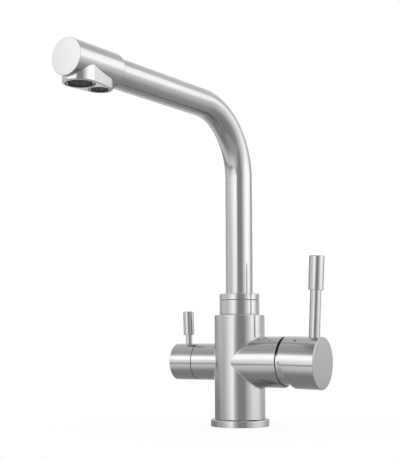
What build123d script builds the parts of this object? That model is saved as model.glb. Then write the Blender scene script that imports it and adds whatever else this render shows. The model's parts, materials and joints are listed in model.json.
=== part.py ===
"""A three-way kitchen mixer tap: mixed water and filtered water leave one swivelling spout."""
from build123d import *
from math import cos, radians, sin, tan
import os

# Sizes are in millimetres and angles in degrees.
# The origin is the centre of the flange's underside, on the deck, and +Z is up.
# The mixer handle lies along +X, the filter handle along -X and the spout along -Y.

# Clearances
RUNNING = 0.05
SEAL_GAP = 0.04
SLIDE_GAP = 0.2

# Body and its foot
BODY_D = 46.4
BODY_TOP_Z = 101.1
BODY_CHAMFER = 0.7
FLANGE_D = 53.6
FLANGE_H = 6.15
FLANGE_EDGE = 0.5
FOOT_D = 42.0
GASKET_H = 2.0
FOOT_WALL = 3.5
BASE_BORE_TOP_Z = 22.0

# Water ways
INLET_D = 9.0
INLET_DEPTH = 10.0
INLET_CIRCLE_R = 9.8
FILTER_INLET_ANGLE = 180.0
HOT_INLET_ANGLE = 300.0
COLD_INLET_ANGLE = 60.0
WATER_WAY_D = 6.0
FILTER_WAY_D = 5.0
WAY_WALL = 1.2
STUD_HOLE_D = 5.0
STUD_HOLE_DEPTH = 12.0
STUD_INSET = 1.5
STUD_ANGLE = 120.0

# Side bosses
HANDLE_Z = 58.2
MIXER_BOSS_STEP = 0.25
MIXER_BOSS_END = 46.0
FILTER_BOSS_D = 33.9
FILTER_BOSS_END = 42.85
RIM_CHAMFER = 0.35
BOSS_BLEND_R = 1.6

# Mixer cartridge
CARTRIDGE_SEAT = 14.0
CARTRIDGE_D = 35.0
CHAMBER_GAP = 0.6
BASE_GAP = 0.6
BASE_T = 4.0
PORT_Z = 4.0
OUTLET_PORT_Z = 8.0
PORT_SEAL_D = 9.0
PORT_SEAL_WALL = 1.5
FIXED_DISC_D = 30.0
FIXED_DISC_T = 4.0
MIXING_DISC_D = 24.4
MIXING_DISC_W = 20.0
MIXING_DISC_T = 4.0
MIXING_DISC_START = 2.2
POCKET_D = 12.6
POCKET_FOOT_D = 11.0
POCKET_FOOT_Z = 5.5
POCKET_DEPTH = 2.0
CARRIER_T = 4.0
HOUSING_BORE_D = 30.2
HOUSING_ROOF = 2.0
HOUSING_NECK_D = 25.6
HOUSING_NECK_L = 6.0
ROTOR_ROOF = 2.0
ROTOR_NECK_D = 21.0
ROTOR_NECK_L = 12.7
ROTOR_SLOT_W = 9.4
ROTOR_SLOT_LOW = 6.2
ROTOR_SLOT_HIGH = 9.2
PIVOT_X = 42.0
PIN_D = 3.0
PIN_L = 19.6
STEM_W = 9.2
STEM_BLOCK_BACK = 6.0
STEM_BLOCK_FRONT = 4.0
STEM_D = 9.0
STEM_ARM_D = 3.4
STEM_BALL_D = 4.6
STEM_ARM_L = 12.8
BALL_POCKET_GAP = 0.3

# Cartridge nut and domed bonnet ring
NUT_THREAD_D = 40.0
NUT_BORE_D = 26.0
NUT_THREAD_L = 6.8
BONNET_GAP = 0.5
BONNET_STEP = 0.1
BONNET_WALL = 2.0
BONNET_THREAD_L = 5.2
BONNET_MOUTH_GAP = 0.6
BONNET_MOUTH_DEPTH = 4.0
BONNET_END = 52.0
BONNET_LIP = 1.8
BONNET_OPENING_D = 27.0

# Mixer handle
HANDLE_DIP = 1.3
CAP_D = 46.7
CAP_START = 48.5
CAP_END = 82.9
CAP_WALL = 1.75
CAP_BORE_END = 67.0
CAP_EDGE = 0.5
CAP_HUB_D = 16.0
CAP_HUB_START = 59.3
STEM_SOCKET_END = 78.0
WEDGE_ANGLE = 18.5
WEDGE_START_Z = 7.5
GRUB_D = 5.0
GRUB_X = 63.2
PIP_D = 2.4
PIP_DEPTH = 1.2
PIP_X = 61.2
PIP_ANGLE = 32.9
LEVER_X = 73.7
LEVER_LEAN = 1.6
LEVER_ROD_D = 10.1
LEVER_SPIGOT_D = 8.0
LEVER_SPIGOT_L = 9.0
LEVER_GRIP_D = 13.8
LEVER_GRIP_START = 64.9
LEVER_GRIP_END = 95.8
LEVER_SOCKET_L = 22.0
GRIP_EDGE = 0.8

# Filter valve
FILTER_SEAT = 17.0
FILTER_CHAMBER_D = 20.0
FILTER_SEAL_T = 1.0
FILTER_SEAL_BORE_D = 10.0
FILTER_DISC_D = 14.8
FILTER_DISC_T = 3.0
FILTER_SEAT_LIP = 1.0
FILTER_WAIST_D = 17.0
FILTER_WINDOW_D = 6.0
FILTER_DRIVER_L = 5.5
FILTER_DRIVER_W = 5.0
FILTER_THREAD_START = 31.5
FILTER_HEX_AF = 24.0
FILTER_HEX_T = 4.0
FILTER_NECK_D = 13.0
FILTER_NECK_END = 51.0
SPINDLE_D = 8.0
SPINDLE_FLANGE_END = 34.0
SPINDLE_RING_X = 38.0
SPINDLE_CLIP_T = 0.8
SPINDLE_END = 60.0

# Filter handle
FILTER_CAP_D = 33.9
FILTER_CAP_GAP = 0.6
FILTER_CAP_END = 66.0
FILTER_CAP_BORE_D = 30.0
FILTER_CAP_BORE_END = 54.0
FILTER_GRUB_D = 4.0
FILTER_GRUB_X = 57.5
FILTER_GRUB_INSET = 1.6
FILTER_LEVER_X = 53.6
FILTER_LEVER_LEAN = 1.9
FILTER_ROD_D = 6.0
FILTER_ROD_FOOT = 14.2
FILTER_GRIP_D = 10.0
FILTER_GRIP_START = 25.2
FILTER_GRIP_END = 47.3
FILTER_SOCKET_L = 14.0

# Swivel
COLLAR_D = 36.8
COLLAR_TOP_Z = 114.7
COLLAR_THREAD_D = 34.0
COLLAR_GROOVE_H = 0.6
COLLAR_GROOVE_DEPTH = 0.9
COLLAR_EDGE = 0.4
COLLAR_SKIRT_Z = 92.0
COLLAR_BORE_Z = 97.0
CLIP_ROOM_D = 31.0
CLIP_D = 30.0
CLIP_T = 2.0
CLIP_OPENING = 8.0
GROOVE_DEPTH = 1.5
SPIGOT_D = 27.0
SEAL_BORE_D = 26.0
SEAL_BORE_TOP_Z = 91.5
CHAMBER_FLOOR_Z = 80.0
SPIGOT_FOOT_Z = 81.5
SPIGOT_BORE_D = 18.0
SPIGOT_RING_W = 2.2
SPIGOT_RING_ZS = (85.0, 89.0)
RING_D = 37.0
RING_GAP = 0.4
RING_TOP_Z = 120.8
RING_EDGE = 0.6
WASHER_D = 34.0
WASHER_T = 1.0
TUBE_SEAT = 2.0
SPIGOT_NECK_L = 9.0
FILTER_SOCKET_D = 10.0
FILTER_CHANNEL_Z = 70.5

# Spout tube, with its arm level
TUBE_D = 25.0
TUBE_WALL = 1.5
ARM_Z = 290.9
BEND_R = 62.1
SPOUT_SWING = 5.4
FILTER_TUBE_D = 8.0
FILTER_TUBE_WALL = 1.0
PLUG_NIPPLE_L = 8.0

# Outlet head
SPOUT_REACH = 238.7
HEAD_D = 29.6
HEAD_WALL = 2.3
HEAD_END_WALL = 2.5
HEAD_EDGE = 0.4
TUBE_IN_HEAD = 4.6
TUBE_CLEARANCE = 0.5
NOZZLE_DEPTH = 18.0
NOZZLE_EDGE = 0.6
NOZZLE_WALL = 1.8
NOZZLE_TOP = 4.0
AERATOR_SEAT = 8.0
MAIN_AERATOR_D = 24.0
MAIN_AERATOR_INSET = 16.2
FILTER_AERATOR_D = 18.0
AERATOR_SPACING = 22.6
AERATOR_WASHER_T = 1.5
AERATOR_WALL = 1.6
AERATOR_RECESS = 0.3
AERATOR_LEDGE = 1.0
AERATOR_LEDGE_H = 3.0
SCREEN_T = 1.2
SCREEN_RECESS = 0.6
SCREEN_RING_SHARE = 0.62
FLOW_DISC_T = 1.5
FLOW_HOLES = 6
KEY_NOTCH_D = 2.6
KEY_NOTCH_ANGLE = 33.0
INSERT_STEP = 0.6
INSERT_TOP = 5.0
INSERT_TUBE_L = 5.5
INSERT_GAP = 0.1

# Sizes and places worked out from the sizes above
BASE_BORE_D = FOOT_D - 2 * FOOT_WALL
STUD_CIRCLE_R = BASE_BORE_D / 2 - STUD_HOLE_D / 2 - STUD_INSET
MIXER_BOSS_D = CAP_D - 2 * MIXER_BOSS_STEP
CAP_BORE_D = CAP_D - 2 * CAP_WALL
BONNET_DOME_R = CAP_BORE_D / 2 - BONNET_GAP
BONNET_D = 2 * (BONNET_DOME_R - BONNET_STEP)
BONNET_MOUTH_D = BONNET_D + 2 * BONNET_MOUTH_GAP
BONNET_THREAD_D = BONNET_D - 2 * BONNET_WALL
BONNET_INNER_D = BONNET_THREAD_D - 2 * BONNET_WALL
BASE_X = CARTRIDGE_SEAT + BASE_GAP
DISC_X = BASE_X + BASE_T
MIXING_X = DISC_X + FIXED_DISC_T
CARRIER_X = MIXING_X + MIXING_DISC_T
ROTOR_SLOT_X = CARRIER_X + CARRIER_T + SLIDE_GAP
ROTOR_TOP_X = ROTOR_SLOT_X + ROTOR_ROOF
HOUSING_ROOF_X = ROTOR_TOP_X + SLIDE_GAP
NUT_X = HOUSING_ROOF_X + HOUSING_ROOF
BONNET_X = MIXER_BOSS_END - BONNET_MOUTH_DEPTH
BALL_X = PIVOT_X - STEM_ARM_L
FILTER_DISC_X = FILTER_SEAT + FILTER_SEAL_T + FILTER_SEAT_LIP
FILTER_TURNING_X = FILTER_DISC_X + FILTER_DISC_T
FILTER_DRIVER_X = FILTER_TURNING_X + FILTER_DISC_T
FILTER_WINDOW_X = FILTER_DRIVER_X + FILTER_DRIVER_L / 2
FILTER_CAP_START = FILTER_BOSS_END + FILTER_CAP_GAP
FILTER_PLUG_Z = FILTER_CHANNEL_Z + FILTER_WAY_D / 2
FILTER_TUBE_FOOT_Z = CHAMBER_FLOOR_Z + SLIDE_GAP
RING_Z = COLLAR_TOP_Z + RING_GAP
TUBE_FOOT_Z = RING_Z + TUBE_SEAT
HEAD_BORE_D = HEAD_D - 2 * HEAD_WALL
MAIN_AERATOR_Y = SPOUT_REACH - MAIN_AERATOR_INSET
FILTER_AERATOR_Y = MAIN_AERATOR_Y - AERATOR_SPACING
TUBE_END = FILTER_AERATOR_Y - FILTER_AERATOR_D / 2 - TUBE_CLEARANCE
HEAD_START = TUBE_END - TUBE_IN_HEAD
INSERT_START = TUBE_END + INSERT_STEP
NOZZLE_Z = ARM_Z - NOZZLE_DEPTH
AERATOR_SEAT_Z = ARM_Z - AERATOR_SEAT

mixer_side = Location((0, 0, HANDLE_Z), (0, 90, 0))
filter_side = Location((0, 0, HANDLE_Z), (0, -90, 0))
swing = Rot(0, 0, -SPOUT_SWING)
handle_pose = Pos(PIVOT_X, 0, HANDLE_Z) * Rot(0, HANDLE_DIP, 0) * Pos(-PIVOT_X, 0, -HANDLE_Z)


def lathe(*outline):
    """A turned piece: its half outline as (radius, height) points, spun about Z."""
    return revolve(Plane.XZ * make_face(Polyline(*outline, close=True)), Axis.Z)


def ring(outer_d, inner_d, low, high):
    """A plain ring about Z."""
    return lathe(
        (inner_d / 2, low), (outer_d / 2, low), (outer_d / 2, high), (inner_d / 2, high)
    )


def drum(diameter, low, high):
    """A solid cylinder about Z."""
    middle = Pos(0, 0, (low + high) / 2)
    return middle * Cylinder(diameter / 2, high - low)


def bar(diameter, start, end):
    """A round bar from one point to another."""
    start, end = Vector(*start), Vector(*end)
    length = (end - start).length
    bottom = (Align.CENTER, Align.CENTER, Align.MIN)
    return Plane(origin=start, z_dir=end - start) * Cylinder(diameter / 2, length, align=bottom)


def polar(radius, angle):
    """The X and Y of a point on a circle about Z."""
    return radius * cos(radians(angle)), radius * sin(radians(angle))


def seal(bore_d, groove_d, low, high):
    """A rubber ring squeezed between the bottom of its groove and the bore round it."""
    inner, outer = groove_d / 2 + SEAL_GAP, bore_d / 2 - SEAL_GAP
    bulge = (high - low) / 4
    return lathe(
        (inner, low + bulge),
        (inner + bulge, low),
        (outer - bulge, low),
        (outer, low + bulge),
        (outer, high - bulge),
        (outer - bulge, high),
        (inner + bulge, high),
        (inner, high - bulge),
    )


# Body, flange and gasket

def base_flange():
    outer, inner = FLANGE_D / 2, FOOT_D / 2 + RUNNING
    return lathe(
        (inner, 0),
        (outer - FLANGE_EDGE / 2, 0),
        (outer, FLANGE_EDGE / 2),
        (outer, FLANGE_H - FLANGE_EDGE),
        (outer - FLANGE_EDGE, FLANGE_H),
        (inner, FLANGE_H),
    )


def base_gasket():
    return ring(FOOT_D - 2 * SLIDE_GAP, BASE_BORE_D, 0, GASKET_H)


def inlet_ways():
    """The three inlet holes, and the drillings that lead from them to the valve seats."""
    hot = polar(INLET_CIRCLE_R, HOT_INLET_ANGLE)
    cold = polar(INLET_CIRCLE_R, COLD_INLET_ANGLE)
    filtered = polar(INLET_CIRCLE_R, FILTER_INLET_ANGLE)
    inlet_top = BASE_BORE_TOP_Z + INLET_DEPTH
    mixer_inlet_z = HANDLE_Z + PORT_Z
    ways = []
    for x, y in (hot, cold, filtered):
        ways.append(bar(INLET_D, (x, y, BASE_BORE_TOP_Z), (x, y, inlet_top)))
    for x, y in (hot, cold):
        bend = (x, y, mixer_inlet_z)
        ways.append(bar(WATER_WAY_D, (x, y, inlet_top), bend))
        across = (x - WATER_WAY_D / 2, y, mixer_inlet_z)
        ways.append(bar(WATER_WAY_D, across, (CARTRIDGE_SEAT, y, mixer_inlet_z)))
    x, y = filtered
    ways.append(bar(WATER_WAY_D, (x, y, inlet_top), (x, y, HANDLE_Z)))
    ways.append(bar(WATER_WAY_D, (x + WATER_WAY_D / 2, 0, HANDLE_Z), (-FILTER_SEAT, 0, HANDLE_Z)))
    return ways


def outlet_ways():
    """The drillings that lead mixed and filtered water up into the spout."""
    mixed_x = FILTER_SOCKET_D / 2 + WATER_WAY_D / 2 + WAY_WALL
    mixed_z = HANDLE_Z - OUTLET_PORT_Z
    window_x = -FILTER_WINDOW_X
    return [
        bar(WATER_WAY_D, (CARTRIDGE_SEAT, 0, mixed_z), (mixed_x - WATER_WAY_D / 2, 0, mixed_z)),
        bar(WATER_WAY_D, (mixed_x, 0, mixed_z), (mixed_x, 0, CHAMBER_FLOOR_Z)),
        bar(FILTER_WAY_D, (window_x, 0, HANDLE_Z), (window_x, 0, FILTER_CHANNEL_Z)),
        bar(FILTER_WAY_D, (window_x - FILTER_WAY_D / 2, 0, FILTER_CHANNEL_Z), (0, 0, FILTER_CHANNEL_Z)),
        drum(FILTER_SOCKET_D, FILTER_CHANNEL_Z - FILTER_WAY_D / 2, CHAMBER_FLOOR_Z),
    ]


def is_boss_seam(edge):
    """Whether an edge is the curve where a boss leaves the column."""
    box = edge.bounding_box()
    near = max(abs(box.min.X), abs(box.max.X)) < BODY_D / 2 + RUNNING
    return near and box.size.X > RUNNING and box.size.Y > FILTER_BOSS_D / 2 and box.size.Z > FILTER_BOSS_D / 2


def body_shell():
    radius = BODY_D / 2
    barrel = lathe(
        (0, GASKET_H),
        (FOOT_D / 2, GASKET_H),
        (FOOT_D / 2, FLANGE_H),
        (radius - BODY_CHAMFER, FLANGE_H),
        (radius, FLANGE_H + BODY_CHAMFER),
        (radius, BODY_TOP_Z - BODY_CHAMFER),
        (radius - BODY_CHAMFER, BODY_TOP_Z),
        (0, BODY_TOP_Z),
    )
    mixer_r, filter_r = MIXER_BOSS_D / 2, FILTER_BOSS_D / 2
    mixer_boss = mixer_side * lathe(
        (0, 0),
        (mixer_r, 0),
        (mixer_r, MIXER_BOSS_END - RIM_CHAMFER),
        (mixer_r - RIM_CHAMFER, MIXER_BOSS_END),
        (0, MIXER_BOSS_END),
    )
    filter_boss = filter_side * drum(FILTER_BOSS_D, 0, FILTER_BOSS_END)
    solid = barrel + mixer_boss + filter_boss
    seams = [edge for edge in solid.edges() if is_boss_seam(edge)]
    solid = fillet(seams, BOSS_BLEND_R)
    solid -= drum(BASE_BORE_D, 0, BASE_BORE_TOP_Z)
    solid -= drum(SEAL_BORE_D, CHAMBER_FLOOR_Z, BODY_TOP_Z)
    solid -= drum(COLLAR_THREAD_D, SEAL_BORE_TOP_Z, BODY_TOP_Z)
    solid -= mixer_side * drum(CARTRIDGE_D + 2 * CHAMBER_GAP, CARTRIDGE_SEAT, NUT_X)
    solid -= mixer_side * drum(NUT_THREAD_D, NUT_X, MIXER_BOSS_END)
    solid -= mixer_side * drum(BONNET_MOUTH_D, BONNET_X, MIXER_BOSS_END)
    solid -= filter_side * drum(FILTER_CHAMBER_D, FILTER_SEAT, FILTER_BOSS_END)
    for way in inlet_ways() + outlet_ways():
        solid -= way
    for angle in (STUD_ANGLE, -STUD_ANGLE):
        x, y = polar(STUD_CIRCLE_R, angle)
        mouth = (x, y, BASE_BORE_TOP_Z)
        solid -= bar(STUD_HOLE_D, mouth, (x, y, BASE_BORE_TOP_Z + STUD_HOLE_DEPTH))
    return solid


# Mixer cartridge

def port_places():
    """The Y and Z of the cartridge's hot, cold and mixed ports, from its axis."""
    side = abs(polar(INLET_CIRCLE_R, HOT_INLET_ANGLE)[1])
    return ((-side, PORT_Z), (side, PORT_Z), (0, -OUTLET_PORT_Z))


def across_x(diameter, y, z, low, high):
    """A bar along +X at a place given from the handle axis."""
    return bar(diameter, (low, y, HANDLE_Z + z), (high, y, HANDLE_Z + z))


def cartridge_base():
    plate = mixer_side * drum(CARTRIDGE_D, BASE_X, DISC_X)
    for y, z in port_places():
        plate -= across_x(PORT_SEAL_D, y, z, BASE_X, DISC_X)
    return plate


def cartridge_port_seals():
    rings = []
    for y, z in port_places():
        outer = across_x(PORT_SEAL_D - 2 * SEAL_GAP, y, z, CARTRIDGE_SEAT, DISC_X)
        bore_d = PORT_SEAL_D - 2 * PORT_SEAL_WALL
        rings.append(outer - across_x(bore_d, y, z, CARTRIDGE_SEAT, DISC_X))
    return rings


def fixed_disc():
    disc = mixer_side * drum(FIXED_DISC_D, DISC_X, MIXING_X)
    for y, z in port_places():
        disc -= across_x(PORT_SEAL_D - 2 * PORT_SEAL_WALL, y, z, DISC_X, MIXING_X)
    return disc


def flat_sided(diameter, width, z, low, high):
    """A disc across X with two flats, as the sliding pieces of the cartridge have."""
    round_part = across_x(diameter, 0, z, low, high)
    flats = Pos((low + high) / 2, 0, HANDLE_Z + z) * Box(high - low, width, diameter)
    return round_part & flats


def mixing_disc():
    z = -MIXING_DISC_START
    disc = flat_sided(MIXING_DISC_D, MIXING_DISC_W, z, MIXING_X, CARRIER_X)
    disc -= across_x(POCKET_D, 0, 0, MIXING_X, MIXING_X + POCKET_DEPTH)
    return disc - across_x(POCKET_FOOT_D, 0, -POCKET_FOOT_Z, MIXING_X, MIXING_X + POCKET_DEPTH)


def disc_carrier():
    end = CARRIER_X + CARRIER_T
    carrier = flat_sided(MIXING_DISC_D, MIXING_DISC_W, -MIXING_DISC_START, CARRIER_X, end)
    ball_z = STEM_ARM_L * sin(radians(HANDLE_DIP))
    side = STEM_BALL_D + 2 * BALL_POCKET_GAP
    depth = end - (BALL_X - STEM_BALL_D / 2 - SLIDE_GAP)
    return carrier - Pos(end - depth / 2, 0, HANDLE_Z + ball_z) * Box(depth, side, side)


def cartridge_housing():
    outer, bore = CARTRIDGE_D / 2, HOUSING_BORE_D / 2
    neck, hole = HOUSING_NECK_D / 2, ROTOR_NECK_D / 2 + RUNNING
    return mixer_side * lathe(
        (bore, DISC_X),
        (outer, DISC_X),
        (outer, NUT_X),
        (neck, NUT_X),
        (neck, NUT_X + HOUSING_NECK_L),
        (hole, NUT_X + HOUSING_NECK_L),
        (hole, HOUSING_ROOF_X),
        (bore, HOUSING_ROOF_X),
    )


def pivot_bar(diameter, half_l):
    """A bar on the axis that the mixer handle tilts about."""
    return bar(diameter, (PIVOT_X, -half_l, HANDLE_Z), (PIVOT_X, half_l, HANDLE_Z))


def cartridge_rotor():
    skirt_x = MIXING_X + SLIDE_GAP
    rotor = mixer_side * drum(HOUSING_BORE_D - 2 * RUNNING, skirt_x, ROTOR_TOP_X)
    rotor += mixer_side * drum(ROTOR_NECK_D, ROTOR_TOP_X, ROTOR_TOP_X + ROTOR_NECK_L)
    slot_l = ROTOR_SLOT_X - skirt_x
    guide_w = MIXING_DISC_W + 2 * SLIDE_GAP
    rotor -= Pos(skirt_x + slot_l / 2, 0, HANDLE_Z) * Box(slot_l, guide_w, HOUSING_BORE_D)
    stem_l = ROTOR_TOP_X + ROTOR_NECK_L - ROTOR_SLOT_X
    stem_h = ROTOR_SLOT_LOW + ROTOR_SLOT_HIGH
    stem_z = HANDLE_Z + (ROTOR_SLOT_HIGH - ROTOR_SLOT_LOW) / 2
    rotor -= Pos(ROTOR_SLOT_X + stem_l / 2, 0, stem_z) * Box(stem_l, ROTOR_SLOT_W, stem_h)
    return rotor - pivot_bar(PIN_D, HOUSING_BORE_D)


def stem_pin():
    return pivot_bar(PIN_D - 2 * SEAL_GAP, PIN_L / 2)


def cartridge_nut():
    thread, bore, front = NUT_THREAD_D / 2 - RUNNING, NUT_BORE_D / 2, BONNET_THREAD_D / 2 - RUNNING
    shoulder = NUT_X + NUT_THREAD_L
    end = shoulder + BONNET_THREAD_L
    return mixer_side * lathe(
        (bore, NUT_X),
        (thread, NUT_X),
        (thread, shoulder),
        (front, shoulder),
        (front, end),
        (bore, end),
    )


def bonnet_ring():
    outer, thread = BONNET_D / 2, BONNET_THREAD_D / 2
    inner, opening = BONNET_INNER_D / 2, BONNET_OPENING_D / 2
    thread_end = NUT_X + NUT_THREAD_L + BONNET_THREAD_L
    blank = Polyline(
        (thread, BONNET_X),
        (outer, BONNET_X),
        (outer, BONNET_END),
        (opening, BONNET_END),
        (opening, BONNET_END - BONNET_LIP),
        (inner, BONNET_END - BONNET_LIP),
        (inner, thread_end),
        (thread, thread_end),
        close=True,
    )
    section = make_face(blank) & Pos(0, PIVOT_X) * Circle(BONNET_DOME_R)
    return mixer_side * revolve(Plane.XZ * section, Axis.Z)


# Mixer handle, built square and then set at its resting dip

def lever_stem():
    block_l = STEM_BLOCK_BACK + STEM_BLOCK_FRONT
    block_x = PIVOT_X + (STEM_BLOCK_FRONT - STEM_BLOCK_BACK) / 2
    stem = Pos(block_x, 0, HANDLE_Z) * Box(block_l, STEM_W, STEM_W)
    stem += across_x(STEM_D, 0, 0, PIVOT_X + STEM_BLOCK_FRONT, STEM_SOCKET_END - SLIDE_GAP)
    stem += across_x(STEM_ARM_D, 0, 0, BALL_X, PIVOT_X - STEM_BLOCK_BACK)
    stem += Pos(BALL_X, 0, HANDLE_Z) * Sphere(STEM_BALL_D / 2)
    return handle_pose * (stem - pivot_bar(PIN_D, STEM_W))


def lever_line(axis_x, lean, low, high):
    """Two points on a lever's axis, at distances from the cap's axis, leaning away from the body."""
    outward = 1 if axis_x > 0 else -1
    drift = outward * sin(radians(lean))
    rise = cos(radians(lean))
    low_point = (axis_x + drift * low, 0, HANDLE_Z + rise * low)
    return low_point, (axis_x + drift * high, 0, HANDLE_Z + rise * high)


def cap_wedge():
    """What the slanted inner edge leaves out of the cap's wall, below the wedge's start."""
    far = CAP_D
    low_x = CAP_START + (WEDGE_START_Z + far) * tan(radians(WEDGE_ANGLE))
    outline = Polyline(
        (0, WEDGE_START_Z),
        (CAP_START, WEDGE_START_Z),
        (low_x, -far),
        (0, -far),
        close=True,
    )
    prism = extrude(Plane.XZ * make_face(outline), CAP_D, both=True)
    wall = mixer_side * ring(2 * CAP_D, CAP_HUB_D, CAP_START, CAP_BORE_END)
    return Pos(0, 0, HANDLE_Z) * prism & wall


def pip_bar(diameter, low, high):
    """A bar at the index pip's place in the cap's wall, at distances from the cap's axis."""
    y, z = -sin(radians(PIP_ANGLE)), cos(radians(PIP_ANGLE))
    return bar(diameter, (PIP_X, y * low, HANDLE_Z + z * low), (PIP_X, y * high, HANDLE_Z + z * high))


def mixer_cap():
    outer, bore, hub = CAP_D / 2, CAP_BORE_D / 2, CAP_HUB_D / 2
    cap = mixer_side * lathe(
        (0, CAP_HUB_START),
        (hub, CAP_HUB_START),
        (hub, CAP_BORE_END),
        (bore, CAP_BORE_END),
        (bore, CAP_START),
        (outer, CAP_START),
        (outer, CAP_END - CAP_EDGE),
        (outer - CAP_EDGE, CAP_END),
        (0, CAP_END),
    )
    cap -= cap_wedge()
    cap -= across_x(STEM_D + 2 * RUNNING, 0, 0, CAP_HUB_START, STEM_SOCKET_END)
    cap -= bar(GRUB_D, (GRUB_X, 0, HANDLE_Z), (GRUB_X, 0, HANDLE_Z - CAP_D))
    cap -= bar(LEVER_SPIGOT_D, *lever_line(LEVER_X, LEVER_LEAN, CAP_D / 2 - LEVER_SPIGOT_L, CAP_D))
    return handle_pose * (cap - pip_bar(PIP_D, outer - PIP_DEPTH, CAP_D))


def index_pip():
    floor, top = CAP_D / 2 - PIP_DEPTH, CAP_D / 2 - PIP_DEPTH / 3
    return handle_pose * pip_bar(PIP_D - 2 * SEAL_GAP, floor, top)


def mixer_grub_screw():
    top, end = HANDLE_Z - STEM_D / 2 - RUNNING, HANDLE_Z - CAP_HUB_D / 2
    screw = bar(GRUB_D - 2 * SEAL_GAP, (GRUB_X, 0, top), (GRUB_X, 0, end))
    socket = extrude(Pos(GRUB_X, 0, end) * RegularPolygon(GRUB_D / 4, 6), (top - end) / 2)
    return handle_pose * (screw - socket)


def mixer_lever_rod():
    foot, seat = CAP_D / 2 - LEVER_SPIGOT_L, CAP_D / 2 - SLIDE_GAP
    rod = bar(LEVER_SPIGOT_D - 2 * RUNNING, *lever_line(LEVER_X, LEVER_LEAN, foot, seat))
    top = LEVER_GRIP_START + LEVER_SOCKET_L
    rod += bar(LEVER_ROD_D, *lever_line(LEVER_X, LEVER_LEAN, seat, LEVER_GRIP_START))
    rod += bar(LEVER_SPIGOT_D, *lever_line(LEVER_X, LEVER_LEAN, LEVER_GRIP_START, top))
    cap_body = mixer_side * drum(CAP_D, CAP_START, CAP_END)
    hole = bar(LEVER_SPIGOT_D - 2 * RUNNING, *lever_line(LEVER_X, LEVER_LEAN, foot, CAP_D / 2))
    return handle_pose * (rod - cap_body + hole)


def grip(diameter, hole_d, axis_x, lean, low, high, hole_l):
    """A straight grip sleeve on its rod, with its top edge rounded."""
    start, end = lever_line(axis_x, lean, low, high)
    length = high - low
    sleeve = drum(diameter, 0, length)
    sleeve = fillet(sleeve.edges().group_by(Axis.Z)[-1], GRIP_EDGE)
    sleeve = chamfer(sleeve.edges().group_by(Axis.Z)[0], GRIP_EDGE / 4)
    sleeve -= drum(hole_d, 0, hole_l)
    direction = Vector(*end) - Vector(*start)
    return Plane(origin=start, z_dir=direction) * sleeve


def mixer_lever_grip():
    return handle_pose * grip(
        LEVER_GRIP_D, LEVER_SPIGOT_D, LEVER_X, LEVER_LEAN, LEVER_GRIP_START, LEVER_GRIP_END, LEVER_SOCKET_L
    )


# Filter valve, turned about -X

def filter_valve_seal():
    return filter_side * ring(FILTER_WAIST_D, FILTER_SEAL_BORE_D, FILTER_SEAT, FILTER_SEAT + FILTER_SEAL_T)


def filter_valve_body():
    start = FILTER_SEAT + FILTER_SEAL_T
    waist, thread = FILTER_WAIST_D / 2, FILTER_CHAMBER_D / 2 - RUNNING
    bore, hole = FILTER_DISC_D / 2 + RUNNING, SPINDLE_D / 2 + RUNNING
    neck = FILTER_NECK_D / 2
    sleeve = lathe(
        (FILTER_SEAL_BORE_D / 2, start),
        (waist, start),
        (waist, FILTER_THREAD_START),
        (thread, FILTER_THREAD_START),
        (thread, FILTER_BOSS_END),
        (neck, FILTER_BOSS_END),
        (neck, FILTER_NECK_END),
        (hole, FILTER_NECK_END),
        (hole, SPINDLE_FLANGE_END + SLIDE_GAP),
        (bore, SPINDLE_FLANGE_END + SLIDE_GAP),
        (bore, FILTER_DISC_X),
        (FILTER_SEAL_BORE_D / 2, FILTER_DISC_X),
    )
    hexagon = extrude(RegularPolygon(FILTER_HEX_AF / 2, 6, major_radius=False), FILTER_HEX_T)
    sleeve += Pos(0, 0, FILTER_BOSS_END) * (hexagon - drum(2 * hole, 0, FILTER_HEX_T))
    window = bar(FILTER_WINDOW_D, (-FILTER_WAIST_D, 0, FILTER_WINDOW_X), (FILTER_WAIST_D, 0, FILTER_WINDOW_X))
    return filter_side * (sleeve - window)


def port_pair(width, low, high):
    """Two round ports either side of a filter disc's centre."""
    offset = FILTER_DISC_D / 4
    return [Pos(side * offset, 0, (low + high) / 2) * Cylinder(width / 2, high - low) for side in (-1, 1)]


def filter_fixed_disc():
    disc = drum(FILTER_DISC_D, FILTER_DISC_X, FILTER_TURNING_X)
    for port in port_pair(FILTER_DISC_D / 3, FILTER_DISC_X, FILTER_TURNING_X):
        disc -= port
    return filter_side * disc


def filter_turning_disc():
    disc = drum(FILTER_DISC_D, FILTER_TURNING_X, FILTER_DRIVER_X)
    for port in port_pair(FILTER_DISC_D / 3, FILTER_TURNING_X, FILTER_DRIVER_X):
        disc -= Rot(0, 0, 90) * port
    return filter_side * disc


def filter_spindle():
    driver_end = FILTER_DRIVER_X + FILTER_DRIVER_L
    middle = (FILTER_DRIVER_X + driver_end) / 2
    blade = Pos(0, 0, middle) * Box(FILTER_DISC_D, FILTER_DRIVER_W, FILTER_DRIVER_L)
    driver = blade & drum(FILTER_DISC_D, FILTER_DRIVER_X, driver_end)
    groove_floor = SPINDLE_D / 2 - GROOVE_DEPTH
    low, high = SPINDLE_RING_X - SPIGOT_RING_W / 2, SPINDLE_RING_X + SPIGOT_RING_W / 2
    clip_low = FILTER_NECK_END
    clip_high = clip_low + SPINDLE_CLIP_T + SLIDE_GAP
    clip_floor = SPINDLE_D / 2 - SPINDLE_CLIP_T
    shaft = lathe(
        (0, driver_end),
        (FILTER_DISC_D / 2, driver_end),
        (FILTER_DISC_D / 2, SPINDLE_FLANGE_END),
        (SPINDLE_D / 2, SPINDLE_FLANGE_END),
        (SPINDLE_D / 2, low),
        (groove_floor, low),
        (groove_floor, high),
        (SPINDLE_D / 2, high),
        (SPINDLE_D / 2, clip_low),
        (clip_floor, clip_low),
        (clip_floor, clip_high),
        (SPINDLE_D / 2, clip_high),
        (SPINDLE_D / 2, SPINDLE_END),
        (0, SPINDLE_END),
    )
    return filter_side * (driver + shaft)


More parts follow.
